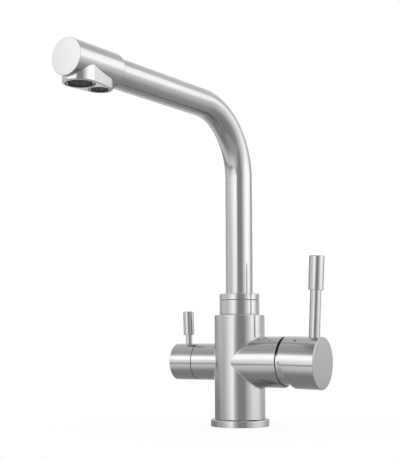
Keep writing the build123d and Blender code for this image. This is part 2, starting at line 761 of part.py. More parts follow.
def spindle_o_ring():
    low, high = SPINDLE_RING_X - SPIGOT_RING_W / 2 + SEAL_GAP, SPINDLE_RING_X + SPIGOT_RING_W / 2 - SEAL_GAP
    return filter_side * seal(SPINDLE_D + 2 * RUNNING, SPINDLE_D - 2 * GROOVE_DEPTH, low, high)


def split_ring(outer_d, inner_d, low, high, opening):
    """A spring clip: a ring with a gap across one side."""
    clip = ring(outer_d, inner_d, low, high)
    return clip - Pos(outer_d / 2, 0, (low + high) / 2) * Box(outer_d, opening, 2 * (high - low))


def spindle_clip():
    low = FILTER_NECK_END + SLIDE_GAP / 2
    outer_d, inner_d = SPINDLE_D + 4 * SPINDLE_CLIP_T, SPINDLE_D - 2 * SPINDLE_CLIP_T + 2 * SEAL_GAP
    return filter_side * split_ring(outer_d, inner_d, low, low + SPINDLE_CLIP_T, SPINDLE_D / 2)


def filter_cap():
    outer, bore = FILTER_CAP_D / 2, FILTER_CAP_BORE_D / 2
    cap = filter_side * lathe(
        (0, FILTER_CAP_BORE_END),
        (bore, FILTER_CAP_BORE_END),
        (bore, FILTER_CAP_START),
        (outer, FILTER_CAP_START),
        (outer, FILTER_CAP_END - CAP_EDGE),
        (outer - CAP_EDGE, FILTER_CAP_END),
        (0, FILTER_CAP_END),
    )
    cap -= filter_side * drum(SPINDLE_D + 2 * RUNNING, FILTER_CAP_BORE_END, SPINDLE_END + SLIDE_GAP)
    cap -= bar(FILTER_GRUB_D, (-FILTER_GRUB_X, 0, HANDLE_Z), (-FILTER_GRUB_X, 0, HANDLE_Z - FILTER_CAP_D))
    foot_line = lever_line(-FILTER_LEVER_X, FILTER_LEVER_LEAN, FILTER_ROD_FOOT, FILTER_CAP_D)
    return cap - bar(FILTER_ROD_D + 2 * SEAL_GAP, *foot_line)


def filter_grub_screw():
    top = HANDLE_Z - SPINDLE_D / 2 - RUNNING
    end = HANDLE_Z - FILTER_CAP_D / 2 + FILTER_GRUB_INSET
    screw = bar(FILTER_GRUB_D - 2 * SEAL_GAP, (-FILTER_GRUB_X, 0, top), (-FILTER_GRUB_X, 0, end))
    socket = extrude(Pos(-FILTER_GRUB_X, 0, end) * RegularPolygon(FILTER_GRUB_D / 4, 6), FILTER_GRUB_D / 2)
    return screw - socket


def filter_lever_rod():
    top = FILTER_GRIP_START + FILTER_SOCKET_L
    return bar(FILTER_ROD_D, *lever_line(-FILTER_LEVER_X, FILTER_LEVER_LEAN, FILTER_ROD_FOOT, top))


def filter_lever_grip():
    return grip(
        FILTER_GRIP_D,
        FILTER_ROD_D,
        -FILTER_LEVER_X,
        FILTER_LEVER_LEAN,
        FILTER_GRIP_START,
        FILTER_GRIP_END,
        FILTER_SOCKET_L,
    )


# Swivel

def swivel_collar():
    outer, skirt = COLLAR_D / 2, COLLAR_THREAD_D / 2 - RUNNING
    groove, low = outer - COLLAR_GROOVE_DEPTH, BODY_TOP_Z + COLLAR_GROOVE_H
    bore, room = SPIGOT_D / 2 + RUNNING, CLIP_ROOM_D / 2
    washer, washer_z = WASHER_D / 2, COLLAR_TOP_Z - WASHER_T + RING_GAP
    return lathe(
        (room, COLLAR_SKIRT_Z),
        (skirt, COLLAR_SKIRT_Z),
        (skirt, BODY_TOP_Z),
        (groove, BODY_TOP_Z),
        (groove, low),
        (outer - COLLAR_EDGE, low),
        (outer, low + COLLAR_EDGE),
        (outer, COLLAR_TOP_Z),
        (washer, COLLAR_TOP_Z),
        (washer, washer_z),
        (bore, washer_z),
        (bore, COLLAR_BORE_Z),
        (room, COLLAR_BORE_Z),
    )


def swivel_washer():
    low = COLLAR_TOP_Z - WASHER_T + RING_GAP
    return ring(WASHER_D - 2 * RUNNING, SPIGOT_D + 4 * RUNNING, low, RING_Z)


def spout_spigot():
    outer, seal_r, bore = SPIGOT_D / 2, SEAL_BORE_D / 2 - RUNNING, SPIGOT_BORE_D / 2
    floor = SEAL_BORE_D / 2 - GROOVE_DEPTH
    clip_floor = outer - GROOVE_DEPTH
    outline = [(bore, SPIGOT_FOOT_Z), (seal_r, SPIGOT_FOOT_Z)]
    for z in SPIGOT_RING_ZS:
        low, high = z - SPIGOT_RING_W / 2, z + SPIGOT_RING_W / 2
        outline += [(seal_r, low), (floor, low), (floor, high), (seal_r, high)]
    clip_low, clip_high = COLLAR_BORE_Z - CLIP_T - SLIDE_GAP, COLLAR_BORE_Z
    neck = TUBE_D / 2 - TUBE_WALL
    outline += [
        (seal_r, SEAL_BORE_TOP_Z),
        (outer, SEAL_BORE_TOP_Z),
        (outer, clip_low),
        (clip_floor, clip_low),
        (clip_floor, clip_high),
        (outer, clip_high),
        (outer, TUBE_FOOT_Z),
        (neck, TUBE_FOOT_Z),
        (neck, TUBE_FOOT_Z + SPIGOT_NECK_L),
        (bore, TUBE_FOOT_Z + SPIGOT_NECK_L),
    ]
    return lathe(*outline)


def spigot_o_rings():
    half = SPIGOT_RING_W / 2 - SEAL_GAP
    return [seal(SEAL_BORE_D, SEAL_BORE_D - 2 * GROOVE_DEPTH, z - half, z + half) for z in SPIGOT_RING_ZS]


def spout_clip():
    low = COLLAR_BORE_Z - CLIP_T - SLIDE_GAP / 2
    return split_ring(CLIP_D, SPIGOT_D - 2 * GROOVE_DEPTH + 2 * SEAL_GAP, low, low + CLIP_T, CLIP_OPENING)


def spout_base_ring():
    outer, wide, tube = RING_D / 2, SPIGOT_D / 2 + SEAL_GAP, TUBE_D / 2 + SEAL_GAP
    return lathe(
        (wide, RING_Z),
        (outer, RING_Z),
        (outer, RING_TOP_Z - RING_EDGE),
        (outer - RING_EDGE, RING_TOP_Z),
        (tube, RING_TOP_Z),
        (tube, TUBE_FOOT_Z),
        (wide, TUBE_FOOT_Z),
    )


# Spout tubes and outlet head, built straight along -Y and then swung to rest

def bent_tube(outer_d, wall, foot_z, reach):
    """A tube that rises on the tap's axis and bends into a level arm."""
    path = FilletPolyline((0, 0, foot_z), (0, 0, ARM_Z), (0, -reach, ARM_Z), radius=BEND_R)
    foot = Plane(origin=(0, 0, foot_z), z_dir=(0, 0, 1))
    outer = sweep(foot * Circle(outer_d / 2), path=path)
    return outer - sweep(foot * Circle(outer_d / 2 - wall), path=path)


def spout_tube():
    return bent_tube(TUBE_D, TUBE_WALL, TUBE_FOOT_Z, TUBE_END)


def filter_tube():
    return bent_tube(FILTER_TUBE_D, FILTER_TUBE_WALL, FILTER_TUBE_FOOT_Z, INSERT_START + INSERT_TUBE_L)


def filter_tube_plug():
    outer, bore = FILTER_SOCKET_D / 2 - RUNNING, FILTER_TUBE_D / 2 - 2 * FILTER_TUBE_WALL
    nipple = FILTER_TUBE_D / 2 - FILTER_TUBE_WALL - RUNNING
    floor = FILTER_SOCKET_D / 2 - GROOVE_DEPTH
    middle = (FILTER_PLUG_Z + FILTER_TUBE_FOOT_Z) / 2
    low, high = middle - SPIGOT_RING_W / 2, middle + SPIGOT_RING_W / 2
    return lathe(
        (bore, FILTER_PLUG_Z),
        (outer, FILTER_PLUG_Z),
        (outer, low),
        (floor, low),
        (floor, high),
        (outer, high),
        (outer, FILTER_TUBE_FOOT_Z),
        (nipple, FILTER_TUBE_FOOT_Z),
        (nipple, FILTER_TUBE_FOOT_Z + PLUG_NIPPLE_L),
        (bore, FILTER_TUBE_FOOT_Z + PLUG_NIPPLE_L),
    )


def filter_tube_o_ring():
    middle = (FILTER_PLUG_Z + FILTER_TUBE_FOOT_Z) / 2
    half = SPIGOT_RING_W / 2 - SEAL_GAP
    return seal(FILTER_SOCKET_D, FILTER_SOCKET_D - 2 * GROOVE_DEPTH, middle - half, middle + half)


def along_arm(diameter, low, high):
    """A cylinder on the arm's axis, at distances from the tap's axis."""
    return bar(diameter, (0, -low, ARM_Z), (0, -high, ARM_Z))


def nozzle_outline(grow):
    """The egg-shaped outline round the two aerators: two circles and their shared tangents."""
    front = Pos(0, -MAIN_AERATOR_Y) * Circle(MAIN_AERATOR_D / 2 + grow)
    rear = Pos(0, -FILTER_AERATOR_Y) * Circle(FILTER_AERATOR_D / 2 + grow)
    return make_hull(front.edges() + rear.edges())


def outlet_head():
    barrel = along_arm(HEAD_D, HEAD_START, SPOUT_REACH)
    barrel = chamfer(barrel.edges(), HEAD_EDGE)
    nozzle = extrude(Pos(0, 0, NOZZLE_Z) * nozzle_outline(NOZZLE_WALL), NOZZLE_DEPTH - NOZZLE_TOP)
    nozzle = fillet(nozzle.edges().group_by(Axis.Z)[0], NOZZLE_EDGE)
    head = barrel + nozzle
    head -= along_arm(HEAD_BORE_D, TUBE_END, SPOUT_REACH - HEAD_END_WALL)
    head -= along_arm(TUBE_D + 2 * SEAL_GAP, HEAD_START, TUBE_END)
    for diameter, y in ((MAIN_AERATOR_D, MAIN_AERATOR_Y), (FILTER_AERATOR_D, FILTER_AERATOR_Y)):
        head -= bar(diameter, (0, -y, NOZZLE_Z), (0, -y, AERATOR_SEAT_Z))
    return head


def outlet_insert():
    end = SPOUT_REACH - HEAD_END_WALL - SLIDE_GAP
    insert = along_arm(HEAD_BORE_D - 2 * INSERT_GAP, INSERT_START, end)
    length = end - INSERT_START
    above = HEAD_D
    insert -= Pos(0, -(INSERT_START + end) / 2, ARM_Z + INSERT_TOP + above / 2) * Box(HEAD_D, length, above)
    for diameter, y in ((MAIN_AERATOR_D, MAIN_AERATOR_Y), (FILTER_AERATOR_D, FILTER_AERATOR_Y)):
        insert -= bar(diameter + 2 * INSERT_GAP, (0, -y, NOZZLE_Z), (0, -y, AERATOR_SEAT_Z))
    main_way = MAIN_AERATOR_D - 2 * AERATOR_WALL - 2 * AERATOR_LEDGE
    main_top = (0, -MAIN_AERATOR_Y, ARM_Z + INSERT_TOP)
    insert -= bar(main_way, (0, -MAIN_AERATOR_Y, AERATOR_SEAT_Z), main_top)
    filter_way = FILTER_TUBE_D - 2 * FILTER_TUBE_WALL
    tube_end = INSERT_START + INSERT_TUBE_L
    insert -= along_arm(FILTER_TUBE_D + 2 * SEAL_GAP, INSERT_START, tube_end)
    insert -= along_arm(filter_way, tube_end, FILTER_AERATOR_Y)
    return insert - bar(filter_way, (0, -FILTER_AERATOR_Y, AERATOR_SEAT_Z), (0, -FILTER_AERATOR_Y, ARM_Z))


def aerator_housing(diameter, y):
    """A flush aerator's threaded ring, with a ledge for its screen and two notches for its key."""
    outer = diameter / 2 - RUNNING
    inner = diameter / 2 - AERATOR_WALL
    low, high = NOZZLE_Z + AERATOR_RECESS, AERATOR_SEAT_Z - AERATOR_WASHER_T
    housing = lathe(
        (inner, low),
        (outer, low),
        (outer, high),
        (inner, high),
        (inner, low + AERATOR_LEDGE_H),
        (inner - AERATOR_LEDGE, low + AERATOR_LEDGE_H),
        (inner - AERATOR_LEDGE, low + AERATOR_LEDGE_H - AERATOR_LEDGE),
        (inner, low + AERATOR_LEDGE_H - AERATOR_LEDGE),
    )
    for angle in (KEY_NOTCH_ANGLE, KEY_NOTCH_ANGLE + 180):
        notch_x, notch_y = polar(diameter / 2 - AERATOR_WALL / 2, angle)
        housing -= bar(KEY_NOTCH_D, (notch_x, notch_y, low), (notch_x, notch_y, low + SCREEN_RECESS))
    return Pos(0, -y, 0) * housing


def aerator_screen(diameter, y):
    """The outlet grid: a disc of rings and spokes under the ledge."""
    radius = diameter / 2 - AERATOR_WALL - SEAL_GAP
    low = NOZZLE_Z + AERATOR_RECESS + SCREEN_RECESS
    high = NOZZLE_Z + AERATOR_RECESS + AERATOR_LEDGE_H - AERATOR_LEDGE
    grid = drum(2 * radius, low, high)
    middle = radius * SCREEN_RING_SHARE
    grid -= ring(2 * (radius - SCREEN_T), 2 * (middle + SCREEN_T / 2), low, high)
    grid -= ring(2 * (middle - SCREEN_T / 2), 2 * SCREEN_T, low, high)
    spoke_l = 2 * radius - SCREEN_T
    spokes = Box(spoke_l, SCREEN_T, high - low) + Box(SCREEN_T, spoke_l, high - low)
    return Pos(0, -y, 0) * (grid + Pos(0, 0, (low + high) / 2) * spokes)


def aerator_flow_disc(diameter, y):
    """The perforated disc on top of the ledge, which splits the water into jets."""
    radius = diameter / 2 - AERATOR_WALL - SEAL_GAP
    low = NOZZLE_Z + AERATOR_RECESS + AERATOR_LEDGE_H
    disc = drum(2 * radius, low, low + FLOW_DISC_T)
    for step in range(FLOW_HOLES):
        hole_x, hole_y = polar(radius / 2, step * 360 / FLOW_HOLES)
        disc -= bar(radius / 4, (hole_x, hole_y, low), (hole_x, hole_y, low + FLOW_DISC_T))
    return Pos(0, -y, 0) * disc


def aerator_washer(diameter, y):
    inner_d = diameter - 2 * AERATOR_WALL - 2 * AERATOR_LEDGE
    low = AERATOR_SEAT_Z - AERATOR_WASHER_T
    return Pos(0, -y, 0) * ring(diameter - 4 * RUNNING, inner_d, low, AERATOR_SEAT_Z)


FIXED = [
    base_flange,
    base_gasket,
    body_shell,
    cartridge_base,
    cartridge_port_seals,
    fixed_disc,
    cartridge_housing,
    cartridge_nut,
    bonnet_ring,
    filter_valve_seal,
    filter_valve_body,
    filter_fixed_disc,
    swivel_collar,
]
MIXER = [
    cartridge_rotor,
    stem_pin,
    mixing_disc,
    disc_carrier,
    lever_stem,
    mixer_cap,
    index_pip,
    mixer_grub_screw,
    mixer_lever_rod,
    mixer_lever_grip,
]
FILTER = [
    filter_turning_disc,
    filter_spindle,
    spindle_o_ring,
    spindle_clip,
    filter_cap,
    filter_grub_screw,
    filter_lever_rod,
    filter_lever_grip,
]
SPOUT = [
    swivel_washer,
    spout_spigot,
    spigot_o_rings,
    spout_clip,
    spout_base_ring,
    spout_tube,
    filter_tube,
    filter_tube_plug,
    filter_tube_o_ring,
    outlet_head,
    outlet_insert,
]
AERATOR_PIECES = [aerator_housing, aerator_screen, aerator_flow_disc, aerator_washer]
AERATORS = {"main": (MAIN_AERATOR_D, MAIN_AERATOR_Y), "filter": (FILTER_AERATOR_D, FILTER_AERATOR_Y)}


def save(name, shape):
    """Write one sub-part, as one solid or as a group of separate solids."""
    if isinstance(shape, list):
        shape = Compound(children=[piece for part in shape for piece in part.solids()])
    export_step(shape, f"parts/{name}.step")


os.makedirs("parts", exist_ok=True)
for make in FIXED + MIXER + FILTER:
    save(make.__name__, make())
for make in SPOUT:
    pieces = make()
    pieces = pieces if isinstance(pieces, list) else [pieces]
    save(make.__name__, [swing * piece for piece in pieces])
for kind, (diameter, y) in AERATORS.items():
    for make in AERATOR_PIECES:
        save(f"{kind}_{make.__name__}", swing * make(diameter, y))
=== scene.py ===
"""Dresses a three-way kitchen mixer tap: brushed steel pieces, aerators, a white studio and the camera."""

import json
import math

import bmesh
import bpy
from mathutils import Matrix, Vector


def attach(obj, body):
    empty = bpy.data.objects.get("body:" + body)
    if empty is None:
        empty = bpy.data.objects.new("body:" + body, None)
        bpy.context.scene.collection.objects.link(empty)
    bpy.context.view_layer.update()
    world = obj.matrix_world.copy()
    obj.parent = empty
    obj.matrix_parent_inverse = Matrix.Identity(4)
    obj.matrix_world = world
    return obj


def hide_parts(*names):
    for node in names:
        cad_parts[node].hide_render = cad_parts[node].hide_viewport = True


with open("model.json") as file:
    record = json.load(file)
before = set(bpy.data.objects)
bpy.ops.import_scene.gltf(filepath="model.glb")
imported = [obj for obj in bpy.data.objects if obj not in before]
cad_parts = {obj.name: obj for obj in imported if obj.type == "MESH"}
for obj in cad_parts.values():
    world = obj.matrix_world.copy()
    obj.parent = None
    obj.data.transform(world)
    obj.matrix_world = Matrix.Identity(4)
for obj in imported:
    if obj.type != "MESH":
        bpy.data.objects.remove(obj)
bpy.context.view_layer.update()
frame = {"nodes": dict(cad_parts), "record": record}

bl_info = {
    "name": "Kitchen Mixer Tap",
    "version": (1, 0, 0),
    "blender": (4, 5, 0),
    "location": "View3D > Sidebar > Mixer Tap",
    "description": "Builds the visible pieces of a three-way kitchen mixer tap around its solid model",
    "category": "Object",
}

MM = 0.001
TURN = 2 * math.pi
UP = Vector((0, 0, 1))
UPRIGHT = Matrix.Identity(4)
TINY = 1e-9

# Points round a large turned piece, a small one, a pin, a key slot, a lug and a corner
ROUND_STEPS = 192
FINE_STEPS = 96
PIN_STEPS = 48
SLOT_STEPS = 32
LUG_STEPS = 24
CORNER_STEPS = 8
SMOOTH_ANGLE = math.radians(14)

# Scales of the brush lines and of their wider bands, across the brushing and along it
LINE_SCALE = 6000
LINE_DRIFT = 46
BAND_SCALE = 1500
BAND_DRIFT = 14
BRUSH_DEPTH = 0.01 * MM
BRUSH_STRENGTH = 0.04

# Scales of the uneven gloss on steel, of the grain on moulded and ground pieces, and of its clouds
GLOSS_SCALE = 34.0
GRAIN_SCALE = 900.0
GRAIN_CLOUD_SCALE = GRAIN_SCALE / 22

# Clearances between pieces, and how far a cutting tool starts outside what it cuts
SNUG = 0.05 * MM
SLIDE = 0.04 * MM
OVERCUT = 1 * MM


# Sizes and finishes

def size(name, description, millimetres):
    """A length that a user may change."""
    return bpy.props.FloatProperty(
        name=name, description=description, default=millimetres * MM, unit="LENGTH", precision=5
    )


def angle(name, description, degrees):
    """An angle that a user may change."""
    return bpy.props.FloatProperty(
        name=name, description=description, default=math.radians(degrees), subtype="ANGLE", unit="ROTATION"
    )


def colour(name, description, value):
    """A colour that a user may change."""
    return bpy.props.FloatVectorProperty(
        name=name, description=description, default=value, size=3, subtype="COLOR", min=0, max=1
    )


def share(name, description, value):
    """A plain number that a user may change."""
    return bpy.props.FloatProperty(name=name, description=description, default=value, min=0)


class TapBodySizes(bpy.types.PropertyGroup):
    radius: size("Radius", "Outer radius of the column", 23.2)
    top: size("Top", "Height of the column's top edge", 101.1)
    foot_radius: size("Foot radius", "Radius of the part that stands in the flange", 21.0)
    foot_start: size("Foot start", "Height of the foot's underside", 2.0)
    flange_radius: size("Flange radius", "Outer radius of the flange", 26.8)
    flange_height: size("Flange height", "Height of the flange", 6.15)
    base_bore: size("Base bore", "Radius of the hollow in the base", 17.5)
    base_bore_top: size("Base bore top", "Height of the ceiling of the base's hollow", 22.0)
    handle_height: size("Handle height", "Height of the axis of both handles", 58.2)
    mixer_boss_radius: size("Mixer boss radius", "Radius of the right boss", 23.1)
    mixer_boss_end: size("Mixer boss end", "Distance of the right boss's end from the column's axis", 46.0)
    filter_boss_radius: size("Filter boss radius", "Radius of the left boss", 16.95)
    filter_boss_end: size("Filter boss end", "Distance of the left boss's end from the column's axis", 42.85)
    rim: size("Rim", "Rounding of the turned edges", 0.35)
    edge: size("Edge", "Rounding of the column's two ends", 0.7)
    blend: size("Blend", "Radius of the blend between the column and its bosses", 1.6)


class TapCapSizes(bpy.types.PropertyGroup):
    dip: angle("Handle dip", "How far the mixer handle leans down at rest", 1.3)
    pivot: size("Pivot", "Distance of the handle's pivot from the column's axis", 42.0)
    radius: size("Cap radius", "Radius of the mixer handle", 23.35)
    start: size("Cap start", "Inner end of the mixer handle", 48.5)
    end: size("Cap end", "Outer end of the mixer handle", 82.9)
    bore: size("Cap bore", "Radius of the hollow over the bonnet", 21.6)
    wedge: angle("Slant", "Slant of the handle's inner edge", 18.5)
    wedge_height: size("Slant start", "Height over the handle's axis where the slant starts", 7.5)
    filter_radius: size("Filter cap radius", "Radius of the filter handle", 16.95)
    filter_start: size("Filter cap start", "Inner end of the filter handle", 43.45)
    filter_end: size("Filter cap end", "Outer end of the filter handle", 66.0)
    bonnet_radius: size("Bonnet radius", "Radius of the domed ring", 21.1)


class TapLeverSizes(bpy.types.PropertyGroup):
    mixer_place: size("Mixer lever place", "Distance of the lever's foot from the column's axis", 73.7)
    mixer_lean: angle("Mixer lever lean", "How far the lever leans outward", 1.6)
    mixer_rod: size("Mixer rod", "Radius of the mixer lever's rod", 5.05)
    mixer_grip: size("Mixer grip", "Radius of the mixer lever's grip", 6.9)
    mixer_grip_start: size("Mixer grip start", "Where the grip starts, from the handle's axis", 64.9)
    mixer_grip_end: size("Mixer grip end", "Where the grip ends, from the handle's axis", 95.8)
    filter_place: size("Filter lever place", "Distance of the lever's foot from the column's axis", 53.6)
    filter_lean: angle("Filter lever lean", "How far the lever leans outward", 1.9)
    filter_rod: size("Filter rod", "Radius of the filter lever's rod", 3.0)
    filter_grip: size("Filter grip", "Radius of the filter lever's grip", 5.0)
    filter_grip_start: size("Filter grip start", "Where the grip starts, from the handle's axis", 25.2)
    filter_grip_end: size("Filter grip end", "Where the grip ends, from the handle's axis", 47.3)
    edge: size("Grip edge", "Rounding of the grips' top edge", 0.8)


class TapSpoutSizes(bpy.types.PropertyGroup):
    swing: angle("Swing", "How far the spout is swung to the left at rest", 5.4)
    collar_radius: size("Collar radius", "Radius of the swivel collar", 18.4)
    collar_top: size("Collar top", "Height of the collar's top", 114.7)
    ring_radius: size("Ring radius", "Radius of the ring at the tube's foot", 18.5)
    ring_start: size("Ring start", "Height of the ring's underside", 115.1)
    ring_top: size("Ring top", "Height of the ring's top", 120.8)
    tube_radius: size("Tube radius", "Outer radius of the spout tube", 12.5)
    tube_wall: size("Tube wall", "Wall of the spout tube", 1.5)
    tube_foot: size("Tube foot", "Height of the tube's lower end", 117.1)
    arm_height: size("Arm height", "Height of the arm's axis", 290.9)
    bend_radius: size("Bend radius", "Radius of the bend's centre line", 62.1)
    tube_reach: size("Tube reach", "Distance of the tube's far end from the column's axis", 190.4)
    head_radius: size("Head radius", "Radius of the outlet head", 14.8)
    head_bore: size("Head bore", "Radius of the head's hollow", 12.5)
    head_start: size("Head start", "Distance of the head's shoulder from the column's axis", 185.8)
    head_end: size("Head end", "Distance of the head's end disc from the column's axis", 238.7)
    head_edge: size("Head edge", "Rounding of the head's shoulder", 1.1)
    nozzle_depth: size("Nozzle depth", "How far the nozzle block reaches under the arm's axis", 18.0)
    nozzle_wall: size("Nozzle wall", "Wall round the aerators", 1.8)
    aerator_seat: size("Aerator seat", "Depth of the aerators' seat under the arm's axis", 8.0)
    main_place: size("Main outlet place", "Distance of the mixed water outlet from the axis", 222.5)
    main_radius: size("Main outlet radius", "Radius of the mixed water outlet", 12.0)
    filter_place: size("Filter outlet place", "Distance of the filtered water outlet from the axis", 199.9)
    filter_radius: size("Filter outlet radius", "Radius of the filtered water outlet", 9.0)
    notch: angle("Notch", "Where the key notches stand on the aerators", 33)


class TapFinishes(bpy.types.PropertyGroup):
    steel: colour("Steel", "Colour of the brushed stainless steel", (0.515, 0.515, 0.515))
    steel_dark: colour("Steel streaks", "Colour of the darker brush lines", (0.485, 0.485, 0.485))
    # Painted shade: the near-black the bonnet takes in the groove, where the handle's edge shades it
    groove: colour("Groove", "Colour of the steel deep in the groove beside the handle", (0.05, 0.05, 0.05))
    steel_roughness: share("Steel roughness", "Roughness of the brushed steel", 0.12)
    streak_roughness: share("Streak roughness", "How much rougher the brush lines are", 0.04)
    brass: colour("Brass", "Colour of the machined brass", (0.62, 0.45, 0.2))
    rubber: colour("Rubber", "Colour of the seals", (0.03, 0.03, 0.03))
    ceramic: colour("Ceramic", "Colour of the valve discs", (0.85, 0.83, 0.78))
    white_plastic: colour("White plastic", "Colour of the inner plastic parts", (0.78, 0.78, 0.75))
    grey_plastic: colour("Grey plastic", "Colour of the cartridge", (0.24, 0.25, 0.26))
    aerator: colour("Aerator", "Colour of the aerators' plastic", (0.055, 0.055, 0.057))
    aerator_ring: colour("Aerator ring", "Colour of the aerators' outer rings", (0.04, 0.04, 0.04))
    # Painted glint: light colour on the lugs in the key notches, standing in for the glints there
    aerator_lug_painted_glint: colour("Aerator lugs", "Colour of the small lugs in the key notches", (0.75, 0.75, 0.75))
    aerator_metal: colour("Aerator metal", "Colour of the aerators' inner metal", (0.3, 0.3, 0.3))
    pip: colour("Pip", "Colour of the pip in the mixer handle", (0.03, 0.03, 0.03))
    screw: colour("Screws", "Colour of the blackened screws", (0.06, 0.06, 0.06))


# Node graphs

class Link:
    """A node's output that can be used in Python sums."""

    def __init__(self, graph, socket):
        self.graph = graph
        self.socket = socket

    def __add__(self, other):
        return self.graph.maths("ADD", self, other)

    def __radd__(self, other):
        return self.graph.maths("ADD", other, self)

    def __sub__(self, other):
        return self.graph.maths("SUBTRACT", self, other)

    def __rsub__(self, other):
        return self.graph.maths("SUBTRACT", other, self)

    def __mul__(self, other):
        return self.graph.maths("MULTIPLY", self, other)

    def __rmul__(self, other):
        return self.graph.maths("MULTIPLY", other, self)


class Graph:
    """A node tree that is filled by one method."""

    def __init__(self, tree):
        self.tree = tree

    def feed(self, node, inputs):
        """Link or set a node's sockets. A list of links goes to one socket in its order."""
        for key, value in inputs.items():
            for item in value if isinstance(value, list) else [value]:
                if isinstance(item, Link):
                    self.tree.links.new(item.socket, node.inputs[key])
                else:
                    node.inputs[key].default_value = item

    def node(self, kind, settings=None, inputs=None, output=0):
        """Add a node with its settings and its sockets, and give the link of one output."""
        made = self.tree.nodes.new(kind)
        for key, value in (settings or {}).items():
            setattr(made, key, value)
        self.feed(made, inputs or {})
        return Link(self, made.outputs[output]) if made.outputs else None

    def blend(self, factor, first, second):
        """A colour between two others."""
        settings = {"data_type": "RGBA"}
        return self.node("ShaderNodeMix", settings, {0: factor, 6: first, 7: second}, output=2)

    def noise(self, vector, scale, detail=2.0):
        return self.node("ShaderNodeTexNoise", None, {"Vector": vector, "Scale": scale, "Detail": detail})

    def maths(self, operation, first, second=0.0):
        """A Math node on one or two values."""
        return self.node("ShaderNodeMath", {"operation": operation}, {0: first, 1: second})

    def bump(self, height, strength, distance):
        inputs = {"Strength": strength, "Distance": distance, "Height": height}
        return self.node("ShaderNodeBump", None, inputs)

    def given(self, *names):
        """The named inputs of a geometry tree."""
        return [self.node("NodeGroupInput", output=name) for name in names]

    def inside(self, place):
        """Object coordinates seen from a piece's own place."""
        point = self.node("ShaderNodeTexCoord", output="Object")
        inputs = {"Vector": point, "Location": place.to_translation(), "Rotation": place.to_euler()}
        return self.node("ShaderNodeMapping", {"vector_type": "TEXTURE"}, inputs)

    def ramp(self, value, low, high, start=0.0, end=1.0):
        """A smooth step from one value to another between two limits."""
        settings = {"interpolation_type": "SMOOTHSTEP", "clamp": True}
        inputs = {"Value": value, "From Min": low, "From Max": high, "To Min": start, "To Max": end}
        return self.node("ShaderNodeMapRange", settings, inputs)

    def combine(self, x, y, z):
        return self.node("ShaderNodeCombineXYZ", None, {0: x, 1: y, 2: z})

    def parts(self, vector):
        """The X, Y and Z of a vector."""
        split = self.node("ShaderNodeSeparateXYZ", None, {0: vector})
        return [Link(self, socket) for socket in split.socket.node.outputs]


# Materials

def new_material(name):
    """A material, the graph that fills it and its Principled shader."""
    material = bpy.data.materials.new(name)
    material.use_nodes = True
    graph = Graph(material.node_tree)
    shader = material.node_tree.nodes["Principled BSDF"]
    return material, graph, shader


def opaque(rgb, dark=1.0):
    """A full colour from three channels, made darker by a share."""
    return (*[channel * dark for channel in rgb], 1.0)


def brushed_steel(name, place=UPRIGHT, along=None, boss_from=None):
    """Steel brushed in rings round an axis, or across a path that carries its own length.

    With boss_from, what lies further from the axis is brushed round the sideways bosses.
    """
    finish = bpy.context.scene.tap_finishes
    material, graph, shader = new_material(name)
    if along:
        point = graph.node("ShaderNodeTexCoord", output="Object")
        x, y, z = graph.parts(point)
        length = graph.node("ShaderNodeAttribute", {"attribute_name": along}, output="Fac")
    else:
        point = graph.inside(place)
        x, y, z = graph.parts(point)
        radius = graph.maths("SQRT", x * x + y * y)
        length = z + radius
    if boss_from:
        sideways = graph.ramp(radius, boss_from, boss_from + 1 * MM)
        inputs = {0: sideways, 4: graph.combine(length, x, y), 5: graph.combine(x, y, z)}
        both = graph.node("ShaderNodeMix", {"data_type": "VECTOR"}, inputs, output=1)
        length, x, y = graph.parts(both)
    lines = graph.noise(graph.combine(length * LINE_SCALE, x * LINE_DRIFT, y * LINE_DRIFT), 1.0)
    bands = graph.noise(graph.combine(length * BAND_SCALE, x * BAND_DRIFT, y * BAND_DRIFT), 1.0, 3.0)
    gloss = graph.noise(point, GLOSS_SCALE)
    streak = graph.ramp(lines * 0.6 + bands * 0.4, 0.3, 0.7)
    tone = graph.ramp(gloss, 0.3, 0.7, 0.0, 0.3)
    base = graph.blend(streak * 0.7 + tone, opaque(finish.steel), opaque(finish.steel_dark))
    rough = streak * finish.streak_roughness + tone * 0.04 + finish.steel_roughness
    bump = graph.bump(lines, BRUSH_STRENGTH, BRUSH_DEPTH)
    graph.feed(shader, {"Base Color": base, "Metallic": 1.0, "Roughness": rough, "Normal": bump})
    return material


def painted_shade_groove_steel(name, place, above, before):
    """Brushed steel with painted shade: it darkens in the groove over a height and before a distance along X.
    """
    material = brushed_steel(name, place)
    graph = Graph(material.node_tree)
    shader = material.node_tree.nodes["Principled BSDF"]
    x, _, z = graph.parts(graph.node("ShaderNodeTexCoord", output="Object"))
    # Painted shade: darker and rougher in the groove, above a height and before the handle's inner edge,
    # where the handle shades the bonnet
    deep = graph.ramp(z, above, above + 4 * MM) * graph.ramp(x, before, before + 0.4 * MM, 1.0, 0.0)
    base = Link(graph, shader.inputs["Base Color"].links[0].from_socket)
    rough = Link(graph, shader.inputs["Roughness"].links[0].from_socket)
    base = graph.blend(deep, base, opaque(bpy.context.scene.tap_finishes.groove))
    graph.feed(shader, {"Base Color": base, "Roughness": rough + deep * 0.3})
    return material


